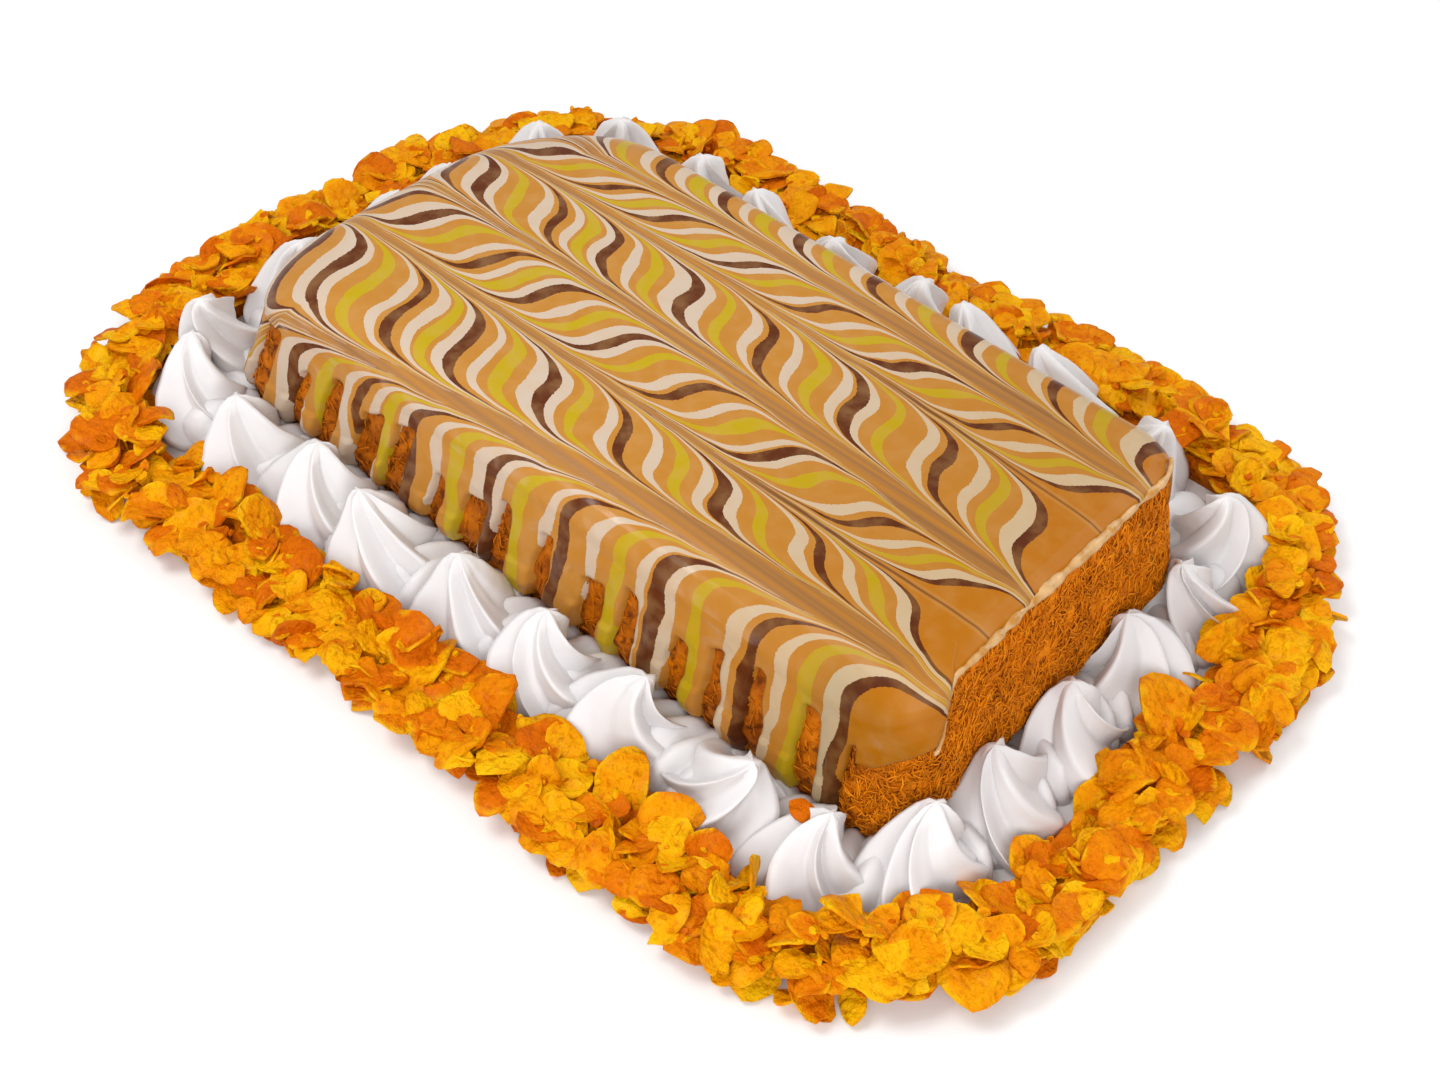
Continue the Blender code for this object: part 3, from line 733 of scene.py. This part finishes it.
PASTRY_COLUMNS = 768
PASTRY_ROUGH = ((0.9 * MM, 0.005, 1), (0.45 * MM, 0.002, 2))
SHRED_COUNT = 7000
SHRED_SIDES = 3
SHRED_STEPS = 4
SHRED_SPANS = ((0.0009, 0.0022), (0.00017, 0.00036), (-0.0006, 0.0003))  # step, radius and lift
SHRED_BEND = 0.3
CUT_FILL = 0.001
FLANK_GAP_SHADE = 0.25  # how much darker the shreds in the flanks' gaps are: painted shade
CUT_SHARE = 0.52  # the share of the shreds that lie on the cut end


def upper_fill(station, level):
    """How much fuller the pastry is under the bead along the cut end's upper edge."""
    _, normal = foot_outline(station)
    return CUT_FILL * smooth_step(0.78, 1.0, level) * np.maximum(normal[:, 0], 0) ** 4


def build_pastry(material):
    """The bar under the icing, rough where it is bare."""
    flank = np.linspace(0.0, 1.0, 46)
    shoulder = np.linspace(1.0, 2.0, 8)[1:]
    top = np.array([2.1, 2.4, 2.7, 2.95])
    levels = np.concatenate([flank, shoulder, top])
    counts = [PASTRY_COLUMNS] * len(flank) + [PASTRY_COLUMNS // 2] + [PASTRY_COLUMNS // 4] * (
        len(shoulder) + len(top) - 1)
    points, tones = [], []
    for level, count in zip(levels, counts):
        station = stations_round(count)
        spots, normal = bar_surface(station, level)
        rough = layered_noise(spots, PASTRY_ROUGH)
        depth = icing_depth(distances_at(station), spots[:, 2], level)
        under = smooth_step(-0.001, 0.003, depth) if level < 1.95 else 1.0
        offset = blend(rough - 0.5 * MM + upper_fill(station, level), -1.9 * MM, under) * (level > 0)
        ring, _ = bar_surface(station, level, offset)
        points.append(ring)
        # Darker away from the cut end, where the pastry shows only in the gaps under the icing's
        # fingers: painted shade. The noise is the pastry's own mottling.
        tone = blend(-0.05, 0.55, np.maximum(normal[:, 0], 0))
        tones.append(tone + 0.25 * lattice_noise(ring, 0.004, 4))
    place_piece(make_mesh("pastry_core", points, capped_faces(counts), material, tone=tones),
                "pastry", "kunafa")


def build_shreds(material):
    """Baked shreds that lie all ways over the bare pastry."""
    rng = np.random.default_rng(17)
    lengths = side_lengths()
    cut_end = lengths[0] + lengths[1] * 0.8
    starts = []
    while len(starts) < SHRED_COUNT:
        cut = rng.random() < CUT_SHARE
        reach = (-LOBE_LENGTH - 0.006, cut_end) if cut else (0, FOOT_ROUND)
        walk = rng.uniform(*reach, 64) % FOOT_ROUND
        height = rng.uniform(0.001, 0.0545 if cut else 0.042, 64)
        bare = icing_depth(walk, height, level_at(stations_at(walk), height)) < -0.0004
        starts += list(zip(walk[bare], height[bare]))
    starts = np.array(starts[:SHRED_COUNT])
    heading = rng.normal(math.pi / 2, 1.1, SHRED_COUNT)
    bend = rng.normal(0, SHRED_BEND, SHRED_COUNT)
    step, radius, lift = (rng.uniform(*span, SHRED_COUNT) for span in SHRED_SPANS)
    phase = rng.uniform(0, TURN, SHRED_COUNT)
    walk, height = starts.T.copy()
    on_cut = (walk < cut_end) | (walk > FOOT_ROUND - LOBE_LENGTH)
    lines = []
    for k in range(SHRED_STEPS + 1):
        station = stations_at(walk)
        level = level_at(station, height)
        ceiling = np.where(icing_depth(walk % FOOT_ROUND, height, level) > -0.0006, -0.0012, 0.0)
        arch = lift + 0.0004 * np.sin(phase + 1.1 * k) + ceiling + upper_fill(station, level)
        spot, _ = bar_surface(station, level, arch)
        lines.append(spot)
        heading = heading + bend
        walk = walk + step * np.cos(heading)
        height = np.clip(height + step * np.sin(heading), 0.0008, 0.0548)
    # Shreds in the flanks' gaps are darker: painted shade.
    tone = rng.uniform(0.2, 0.9, SHRED_COUNT) * np.where(on_cut, 1.0, FLANK_GAP_SHADE)
    # Each becomes a thin tube, tapered at both ends.
    lines = np.stack(lines, 1)
    ahead = unit(np.gradient(lines, axis=1))
    side = unit(np.cross(ahead, (0.31, 0.52, 0.79)))
    other = np.cross(ahead, side)
    taper = np.sin(np.linspace(0.25, math.pi - 0.25, SHRED_STEPS + 1)) ** 0.4
    reach = (radius[:, None] * taper)[..., None]
    rings = np.stack([lines + reach * (np.cos(angle) * side + np.sin(angle) * other)
                      for angle in TURN * np.arange(SHRED_SIDES) / SHRED_SIDES], 2)
    pattern, each = capped_faces([SHRED_SIDES] * (SHRED_STEPS + 1)), SHRED_SIDES * (SHRED_STEPS + 1)
    faces = [tuple(n * each + v for v in face) for n in range(SHRED_COUNT) for face in pattern]
    tone = np.repeat(tone, each)
    place_piece(make_mesh("pastry_shreds", rings.reshape(-1, 3), faces, material, tone=tone), "pastry")


def pastry_material():
    look = Material("pastry", Roughness=0.55, Specular_IOR_Level=0.12)
    tone = look.value("tone")
    place = look.place()
    patches = look.noise(place, 90.0)
    mottle = look.noise(place, 900.0, 3.0)
    share = tone * 0.42 + patches * 0.38 + mottle * 0.2
    colour = look.ramp(share, ((0.12, (0.2, 0.038, 0.0)), (0.34, (0.5, 0.13, 0.001)),
                               (0.6, (0.74, 0.215, 0.002)), (0.85, (0.88, 0.35, 0.01))))
    # Dark holes among the shreds, more where the tone is low: painted shade in the hollows.
    hole_shade = look.noise(place, 300.0).clamped(0.54, 0.68) * tone.clamped(0.6, 0.1)
    look.colour(look.mix(hole_shade * 0.8, colour, (0.1, 0.018, 0.001)))
    look.bump(mottle, 0.35, 0.0005)
    return look.material


# ---- the piped cream ----

STAR_COUNT = 28
STAR_OUT = {"cut": 0.0088, "back": 0.0195, "left": 0.0135, "front": 0.013}
STAR_STRAY = (-0.0002, 0.0009)
STAR_ACROSS = {"cut": 0.0146, "back": 0.0185, "left": 0.016, "front": 0.0152}
STAR_ALONG = 0.017
STAR_UNEVEN = (0.93, 1.05)
STAR_HEIGHT = {"cut": 0.027, "back": 0.038, "left": 0.0335, "front": 0.0255}
STAR_LEAN = {"cut": -0.0055, "back": 0.002, "left": 0.0, "front": -0.0025}
STAR_MEASURES = (STAR_OUT, STAR_ACROSS, STAR_HEIGHT, STAR_LEAN)
STAR_LEAN_SHARE = (0.6, 1.2)
STAR_SWAY = 0.0035
STAR_BARE = 0.7
STAR_PHASE = 0.5
STAR_DRIFT = 0.15
DRIFT_SEED = 7305
STAR_CLEAR = 0.0005
PEAK_ALONG, PEAK_OUT = (-0.009, 0.009), (-0.006, 0.002)  # how far the peaks lean over
STAR_TWIST = (0.8, 2.0)
STAR_SKEW = ((2, 0.2), (3, 0.12))
STAR_LUMPS = ((2, 0.06), (3, 0.04))
STAR_SWELL = ((1.1 * MM, 0.0085, 51), (0.45 * MM, 0.0034, 52))
RIDGE_COLUMNS = 16
STAR_ROWS = 28
STAR_SPREAD = (1.3, 1.08)  # how much fuller the swirls are, along the ring and across
STAR_BODY = ((0.0, 1.0), (0.07, 1.08), (0.18, 1.06), (0.32, 0.94), (0.48, 0.77), (0.64, 0.59),
             (0.8, 0.42), (0.91, 0.28), (0.97, 0.16), (1.0, 0.0))
STAR_GROOVES = ((0.0, 0.26), (0.2, 0.34), (0.5, 0.42), (0.85, 0.46), (1.0, 0.3))

Star = namedtuple("Star", "middle normal station along across height lean turn")


def star_places():
    """Where each star stands, its half widths, its height and how its peak leans."""
    rng, places = random.Random(5), random.Random(DRIFT_SEED)
    ring = sum(STAR_OUT.values()) / 4
    pitch = sum(side_lengths(ring)) / STAR_COUNT
    stars = []
    for i in range(STAR_COUNT):
        drift = places.uniform(-STAR_DRIFT, STAR_DRIFT)
        station = stations_at([pitch * (i + STAR_PHASE + drift)], ring)
        _, normal = foot_outline(station, ring)
        out, across, height, lean = (float(by_side(kind, normal)[0]) for kind in STAR_MEASURES)
        flat, _ = foot_outline(station, out + rng.uniform(*STAR_STRAY))
        height *= rng.uniform(*STAR_UNEVEN)
        normal = normal[0]
        lean = normal * lean * rng.uniform(*STAR_LEAN_SHARE)
        lean = lean + np.array([-normal[1], normal[0]]) * rng.uniform(-STAR_SWAY, STAR_SWAY)
        turn = rng.uniform(0, TURN)
        stars.append(Star(shear(flat)[0], normal, station[0], STAR_ALONG, across, height, lean, turn))
    spaced = []
    for i, star in enumerate(stars):
        near = (stars[i - 1], stars[(i + 1) % STAR_COUNT])
        room = min(np.linalg.norm(star.middle - other.middle) for other in near) / 2
        spaced.append(star._replace(along=min(STAR_ALONG, room - STAR_CLEAR)))
    return spaced


STARS = star_places()


def build_star(number, star, material):
    """A piped swirl: bold soft ridges that wind up to a pulled peak."""
    rng = np.random.default_rng(100 + number)
    ridges = int(rng.integers(5, 7))
    twist = rng.uniform(*STAR_TWIST) * rng.choice([-1, 1], p=[0.2, 0.8])
    columns = ridges * RIDGE_COLUMNS
    share = np.linspace(0, 1, STAR_ROWS) ** 0.85
    t, phase = np.meshgrid(share, TURN * np.arange(columns) / columns, indexing="ij")
    body = np.interp(t, *zip(*STAR_BODY))
    skew = sum(size * np.sin(phase * n + rng.uniform(0, TURN)) for n, size in STAR_SKEW)
    a = phase + skew - star.turn - twist * t
    wind = ridges * phase
    wave = 1 - np.abs(np.sin(wind / 2)) ** 1.2
    depth = np.interp(t, *zip(*STAR_GROOVES))
    lumps = 1 + sum(size * np.cos(n * a + rng.uniform(0, TURN)) for n, size in STAR_LUMPS)
    reach = 1.06 * body * (1 - depth * (1 - wave) - 0.02 * np.cos(wind * 3 + 4 * t)) * lumps
    axes = np.array([[-star.normal[1], star.normal[0]], star.normal])
    heading = np.stack([np.cos(a), -np.sin(a)], -1)
    radii = np.array([star.along, star.across]) * STAR_SPREAD
    bent = star.lean * 1.2 + [rng.uniform(*PEAK_ALONG), rng.uniform(*PEAK_OUT)] @ axes
    flat = star.middle + bent * (t ** 2.4)[..., None] + heading * reach[..., None] * radii @ axes
    z = star.height * t + 1.6 * MM * reach * (2 * wave - 1) * (t > 0) * (t < 0.9)
    rings = np.concatenate([flat, z[..., None]], -1)
    swell = layered_noise(rings.reshape(-1, 3), STAR_SWELL).reshape(a.shape) * (1 - t)
    rings[..., :2] += heading * swell[..., None] @ axes
    # No ridge reaches into the bar.
    height, station = share * star.height, np.full(STAR_ROWS, star.station)
    bare = (star.normal[0] > STAR_BARE) | (height < FINGER_TIP[0] - MM)
    offset = np.where(bare, 0.6 * MM, ICING_GAP + ICING_THICK)
    wall, _ = bar_surface(station, level_at(station, height), offset)
    least = (wall[:, None, :2] - rings[..., :2]) @ star.normal
    rings[..., :2] += np.maximum(least, 0)[..., None] * star.normal
    rings[..., 2] = np.maximum(rings[..., 2], 0.0)
    piece = make_mesh(f"cream_swirl_{number:02d}", rings, capped_faces([columns] * STAR_ROWS), material)
    place_piece(piece, "cream", f"cream_star_{number:02d}")


# The rope of cream between the swirls: how far out from the bar's foot, and how high.
ROPE = ((-0.006, 0.0), (-0.005, 0.006), (-0.002, 0.0076), (0.001, 0.0088), (0.004, 0.0098),
        (0.007, 0.0106), (0.01, 0.0106), (0.013, 0.0092), (0.016, 0.0068), (0.018, 0.004),
        (0.019, 0.0))
ROPE_COLUMNS = 1200
ROPE_FOLD = 0.0026


def build_rope(material):
    """The cream that the swirls run together in, at the foot of the bar."""
    station = stations_round(ROPE_COLUMNS, 0.01)
    distance = distances_at(station)
    _, normal = foot_outline(station)
    wide = (by_side(STAR_OUT, normal) + by_side(STAR_ACROSS, normal)) / 0.0255
    points = []
    for out, height in ROPE:
        flat, _ = foot_outline(station, np.where(out > 0, out * wide, out))
        flat = shear(flat)
        spots = np.column_stack([flat, np.full(len(flat), height)])
        soft = lattice_noise(spots, 0.011, 31)
        fold = np.abs(np.sin(distance / ROPE_FOLD + out * 90 + 1.6 * lattice_noise(spots, 0.02, 33)))
        spots[:, 2] = height * (0.74 + 0.12 * soft + 0.38 * fold)
        spots[:, :2] += ((0.001 * soft + 0.003 * fold) * (out > 0.01))[:, None] * normal
        points.append(spots)
    faces = hoop_faces(ROPE_COLUMNS, len(ROPE))
    place_piece(make_mesh("cream_rope", points, faces, material), "cream")


def cream_material():
    look = Material("cream", Roughness=0.42, Subsurface_Weight=0.2, Subsurface_Scale=0.003,
                    Base_Color=(0.72, 0.7, 0.7))
    look.shader.inputs["Subsurface Radius"].default_value = (1.0, 0.85, 0.7)
    look.bump(look.noise(look.place(), 260.0), 0.08, 0.0006)
    return look.material


# ---- the cornflakes ----

BANK_OUT = {"cut": 0.05, "back": 0.063, "left": 0.057, "front": 0.056}
BANK_CORNER = 0.008
BANK_CLEAR = 0.0006
BED_SECTION = ((0.0, 0.0), (0.02, 0.0068), (0.36, 0.0074), (0.54, 0.004), (0.66, 0.0))
BED_MESH = (420, 15)
BED_CORNER = 0.016  # how far the bed draws in from the bank's edge at the corners
# The bed's low tone darkens it: the glaze's own colour and painted shade in the gaps between the
# flakes.
BED_SHADE_TONE = 0.15
BED_BUMPS = ((1.6 * MM, 0.008, 21), (1.2 * MM, 0.0036, 22))
FLAKE_RING = 0.045
FLAKE_COUNT = 865
FLAKE_SIZE = (0.0058, 0.0118)  # half a flake's length
FLAKE_NARROW = (0.66, 0.95)
FLAKE_THICK = (0.0003, 0.00048)
FLAKE_CURL = (0.75, 3.0)
CORNER_STRAY, CORNER_REACH, RIM_ROUGH = (-0.32, 0.32), (0.72, 1.12), 0.016
MOST_TILT, RIM_TILT, CRUMB_TILT = 1.25, 0.35, 0.8
TURNED_OVER = 0.4  # the share of the flakes that lie upside down
BLISTERS = ((1.0 * MM, 0.0056, 41), (0.5 * MM, 0.0028, 42))
RIM_FLAKES = 250  # flakes that lie flat round the outer edge
RIM_SHARE = (0.68, 1.0)
RIM_SIZE = (0.006, 0.01)
CRUMB_COUNT = 420
CRUMB_SIZE = (0.0012, 0.0032)
GOLDEN = 0.618034
CELL = 0.002
GRID_LOW = (-0.215, -0.15)
GRID_SIZE = (215, 150)
FLAKES_TOP = (0.024, 0.0145)  # how high flakes may reach: by the cream, at the edge
LARGE_TOP, CRUMBS_TOP = 0.03, 0.0215
STAR_CONE = ((0, 0.9), (0.3, 0.75), (0.7, 0.5), (1.0, 0.15))  # how the swirls hold the flakes up

# How a flake is meshed: its sides, and the sizes of its rings on top and below.
Kind = namedtuple("Kind", "sides rings under")
FLAKE = Kind(16, (1.0, 0.8, 0.54, 0.27), (1.0, 0.54))
CRUMB = Kind(7, (1.0, 0.6), (1.0,))

# Large flakes that lean on the cream, and a small one on it: place, half length, tilt and heading.
LARGE_FLAKES = (
    ((0.03, -0.11), 0.015, 0.85, -1.7), ((0.078, -0.103), 0.0125, 0.7, -1.3),
    ((0.096, -0.104), 0.0115, 0.6, -1.2), ((-0.09, -0.112), 0.0125, 0.7, -1.8),
    ((-0.152, -0.102), 0.012, 0.7, -2.2), ((0.168, 0.02), 0.016, 0.5, 0.2),
    ((0.0, -0.112), 0.012, 0.6, -1.4), ((-0.052, -0.114), 0.0115, 0.65, -1.6),
    ((0.124, -0.081), 0.0052, 0.3, -0.8),
)


def bank_point(station, share, edge=0.0, corner=BANK_CORNER):
    """Where on the floor a share of the way out over the bank lies."""
    _, normal = foot_outline(station)
    inner = by_side(STAR_OUT, normal) + by_side(STAR_ACROSS, normal) + STAR_STRAY[1] + BANK_CLEAR
    outer = by_side(BANK_OUT, normal) - corner * (2 * normal[:, 0] * normal[:, 1]) ** 2 + edge
    flat, _ = foot_outline(station, inner + (outer - inner) * share)
    return shear(flat)


def build_bed(material):
    """The glazed bed that the flakes lie in."""
    count, rows = BED_MESH
    station = stations_round(count, FLAKE_RING)
    points = []
    for k, share in enumerate(np.linspace(0, BED_SECTION[-1][0], rows)):
        height = np.interp(share, *zip(*BED_SECTION))
        spots = np.column_stack([bank_point(station, share), np.full(count, height)])
        bumps = layered_noise(spots, BED_BUMPS)
        rim = 2.5 * MM * lattice_noise(spots, 0.012, 23) * share
        spots[:, :2] = bank_point(station, share, rim, BANK_CORNER + BED_CORNER * share)
        spots[:, 2] = np.maximum(height + bumps * (0 < k < rows - 1), 0.0)
        points.append(spots)
    # Dark with its low tone: glaze colour and painted shade between the flakes.
    bed = make_mesh("flake_bed", points, hoop_faces(count, rows), material, tone=[BED_SHADE_TONE], edge=[0.5])
    place_piece(bed, "cornflake", "cornflakes")


def flake_form(rng, size, kind=FLAKE):
    """One curled, blistered flake round the origin: its points, and how near its rim they are."""
    sides, parts, under = kind
    narrow = rng.uniform(*FLAKE_NARROW)
    thick = rng.uniform(*FLAKE_THICK)
    corners = int(rng.integers(5, 9))
    angle = TURN * (np.arange(corners) + rng.uniform(*CORNER_STRAY, corners)) / corners
    loop = np.column_stack([np.cos(angle), narrow * np.sin(angle)])
    loop = loop * rng.uniform(*CORNER_REACH, (corners, 1))
    loop = np.concatenate([loop, loop[:1]])
    walked = np.append(0.0, np.cumsum(np.linalg.norm(np.diff(loop, axis=0), axis=1)))
    spaced = walked[-1] * np.arange(sides) / sides
    rim = np.column_stack([np.interp(spaced, walked, loop[:, i]) for i in (0, 1)])
    rim = 0.64 * rim + 0.18 * (np.roll(rim, 1, 0) + np.roll(rim, -1, 0))
    rim = rim + rng.normal(0, RIM_ROUGH, (sides, 2))
    flat = np.concatenate([size * part * rim for part in parts] + [np.zeros((1, 2))])
    near = np.append(np.repeat(parts, sides), 0.0)
    x, y = flat.T
    curl = size * rng.uniform(*FLAKE_CURL)
    twist = rng.normal(0, 0.25)
    arch = -(x ** 2 + rng.uniform(-0.5, 0.7) * y ** 2 + twist * x * y) / (2 * curl)
    arch = np.maximum(arch, -0.8 * size)
    shift = rng.uniform(0, 50) * MM
    spots = np.column_stack([flat + shift, 0 * x])
    blister = layered_noise(spots, BLISTERS) * rng.uniform(0.7, 1.3) * min(size / 0.008, 1.0)
    top = np.column_stack([flat, arch + blister + thick])
    keep = [np.arange(sides) + parts.index(part) * sides for part in under]
    keep = np.append(np.concatenate(keep), len(x) - 1)
    bottom = np.column_stack([flat, arch + blister - thick])[keep]
    return np.concatenate([top, bottom]), np.concatenate([near, near[keep]])


def flake_faces(kind):
    """The faces of one flake: rings and a middle on top, fewer below, and the rim."""
    sides, rings, under = kind.sides, len(kind.rings), len(kind.under)
    low = rings * sides + 1
    top, bottom = low - 1 - sides, low + (under - 1) * sides
    faces = ring_faces([sides] * rings)
    faces += [tuple(low + v for v in reversed(face)) for face in ring_faces([sides] * under)]
    for i in range(sides):
        j = (i + 1) % sides
        faces += [(top + i, top + j, top + sides), (bottom + j, bottom + i, bottom + sides),
                  (j, i, low + i, low + j)]
    return faces


def height_grid():
    """The heights of the bed and the cream below the flakes, in cells."""
    grid = np.zeros(GRID_SIZE)
    shares, station = np.linspace(0, 1, 50), np.linspace(0, 8, 3000, endpoint=False)
    for share, height in zip(shares, np.interp(shares, *zip(*BED_SECTION))):
        cells = cells_of(bank_point(station, share, 0.0, BANK_CORNER + BED_CORNER * share))
        grid[cells] = np.maximum(grid[cells], height)
    angle = np.linspace(0, TURN, 60)
    circle = np.column_stack([np.cos(angle), np.sin(angle)])
    for star, radius in itertools.product(STARS, np.linspace(0, 1, 12)):
        cells = cells_of(star.middle + star.across * radius * circle)
        grid[cells] = np.maximum(grid[cells], star.height * np.interp(radius, *zip(*STAR_CONE)))
    return grid


def cells_of(points):
    cells = ((points[:, :2] - GRID_LOW) / CELL).astype(int)
    return tuple(np.clip(cells, 0, np.subtract(GRID_SIZE, 1)).T)


def turned(points, yaw, tilt, tilt_way):
    turn = (Matrix.Rotation(tilt_way, 3, "Z") @ Matrix.Rotation(tilt, 3, "Y")
            @ Matrix.Rotation(yaw - tilt_way, 3, "Z"))
    return points @ np.array(turn).T


def inside_box(place):
    """The points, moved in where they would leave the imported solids' box."""
    low, high = np.array(cad_box[0])[:2] + 0.3 * MM, np.array(cad_box[1])[:2] - 0.3 * MM
    place[:, :2] += np.maximum(low - place[:, :2].min(0), 0) - np.maximum(place[:, :2].max(0) - high, 0)
    return place


class Heap:
    """Flakes dropped one by one, each resting on what lies under it."""

    def __init__(self, rng):
        self.rng, self.grid, self.laid = rng, height_grid(), []

    def lay(self, form, near, spot, pattern, limit, sink=0.72):
        place = inside_box(form + np.append(spot, 0.0))
        cells = cells_of(place)
        rest = np.quantile(self.grid[cells] - form[:, 2], sink)
        place[:, 2] = form[:, 2] + max(rest, 0.0002 - form[:, 2].min())
        if place[:, 2].max() > limit:
            return
        self.grid[cells] = np.maximum(self.grid[cells], place[:, 2])
        self.laid.append((place, near, np.full(len(form), self.rng.uniform(0, 1)), pattern))

    def build(self, name, material):
        spots, nears, tones, patterns = zip(*self.laid)
        starts = itertools.accumulate(map(len, spots), initial=0)
        faces = [tuple(start + v for v in face)
                 for start, pattern in zip(starts, patterns) for face in pattern]
        flakes = make_mesh(name, spots, faces, material, tone=tones, edge=nears)
        flakes.data.set_sharp_from_angle(angle=0.9)
        place_piece(flakes, "cornflake")
        self.laid = []


def spots_round(rng, count, low, high):
    """Places spread evenly round the bank, at a random share of the way out."""
    whole = sum(side_lengths(FLAKE_RING))
    for i in range(count):
        station = stations_at([whole * (i * GOLDEN % 1.0)], FLAKE_RING)
        share = rng.uniform(low, high)
        yield bank_point(station, share)[0], share


def build_flakes(material):
    rng = np.random.default_rng(31)
    heap, pattern, crumb = Heap(rng), flake_faces(FLAKE), flake_faces(CRUMB)
    for spot, share in spots_round(rng, FLAKE_COUNT, 0.0, 0.96):
        form, near = flake_form(rng, blend(*FLAKE_SIZE, rng.beta(1.6, 1.8)))
        tilt = min(abs(rng.normal(0, 0.5)), MOST_TILT)
        if rng.random() < TURNED_OVER:
            form = form * np.array([1, -1, -1])
        form = turned(form, rng.uniform(0, TURN), tilt, rng.uniform(0, TURN))
        heap.lay(form, near, spot, pattern, blend(*FLAKES_TOP, share))
    for spot, _ in spots_round(rng, RIM_FLAKES, *RIM_SHARE):
        form, near = flake_form(rng, rng.uniform(*RIM_SIZE))
        form = turned(form, rng.uniform(0, TURN), rng.uniform(0, RIM_TILT), rng.uniform(0, TURN))
        heap.lay(form, near, spot, pattern, FLAKES_TOP[1], 0.6)
    for spot, size, tilt, way in LARGE_FLAKES:
        form, near = flake_form(rng, size)
        sink = 0.6 if size > 0.007 else 0.95
        heap.lay(turned(form, rng.uniform(0, TURN), tilt, way), near, spot, pattern, LARGE_TOP, sink)
    heap.build("cornflakes_glazed", material)
    for spot, _ in spots_round(rng, CRUMB_COUNT, 0.0, 0.99):
        form, near = flake_form(rng, blend(*CRUMB_SIZE, rng.random()), CRUMB)
        form = turned(form, rng.uniform(0, TURN), rng.uniform(0, CRUMB_TILT), rng.uniform(0, TURN))
        heap.lay(form, near, spot, crumb, CRUMBS_TOP, 0.5)
    heap.build("cornflake_crumbs", material)


def flake_material():
    look = Material("cornflake", Roughness=0.5, Specular_IOR_Level=0.05, Coat_Weight=0.03,
                    Coat_Roughness=0.15)
    tone, edge, place = look.value("tone"), look.value("edge"), look.place()
    patches = look.noise(place, 150.0)
    specks = look.noise(place, 700.0, 3.0, 0.65)
    pits = look.noise(place, 420.0, 1.0)
    share = tone * 0.5 + patches * 0.34 + specks * 0.2
    colour = look.ramp(share, ((0.1, (0.42, 0.052, 0.0)), (0.34, (0.68, 0.15, 0.0)),
                               (0.56, (0.8, 0.285, 0.0)), (0.84, (0.88, 0.49, 0.002))))
    colour = look.mix(pits.clamped(0.6, 0.72) * 0.4, colour, (0.52, 0.085, 0.0))

    # Some rims are darker, toasted; the others are lighter: a painted glow of light through the thin
    # edges.
    rim, patch = edge.clamped(0.7, 1.0), look.noise(place, 110.0, 1.0)
    colour = look.mix(rim * patch.clamped(0.5, 0.62) * 0.45, colour, (0.52, 0.11, 0.0))
    look.colour(look.mix(rim * patch.clamped(0.5, 0.4) * 0.6, colour, (0.86, 0.48, 0.004)))
    specks = specks * 1.2
    blisters = look.node("TexVoronoi", Vector=place, Scale=380.0)
    blisters.feature = "SMOOTH_F1"
    look.bump(specks + Sum(blisters.outputs["Distance"]) * 1.4 - pits, 0.9, 0.0012)
    return look.material


# ---- all of it ----

def make_floor():
    look = Material("floor", Roughness=0.6, Base_Color=FLOOR_COLOUR)
    look.bump(look.noise(look.place(), 40.0), 0.02, 0.0005)
    half = FLOOR_SIZE / 2
    corners = [(x * half, y * half, 0.0) for x, y in ((-1, -1), (1, -1), (1, 1), (-1, 1))]
    floor = make_mesh("floor", corners, [(0, 1, 2, 3)], look.material)
    floor.location.z = -0.0002


def main():
    make_camera()
    make_lights()
    make_floor()
    pastry, cream, flake = pastry_material(), cream_material(), flake_material()
    build_icing(icing_material())
    build_bead(bead_material())
    build_pastry(pastry)
    build_shreds(pastry)
    for number, star in enumerate(STARS, 1):
        build_star(number, star, cream)
    build_rope(cream)
    build_bed(flake)
    build_flakes(flake)


main()
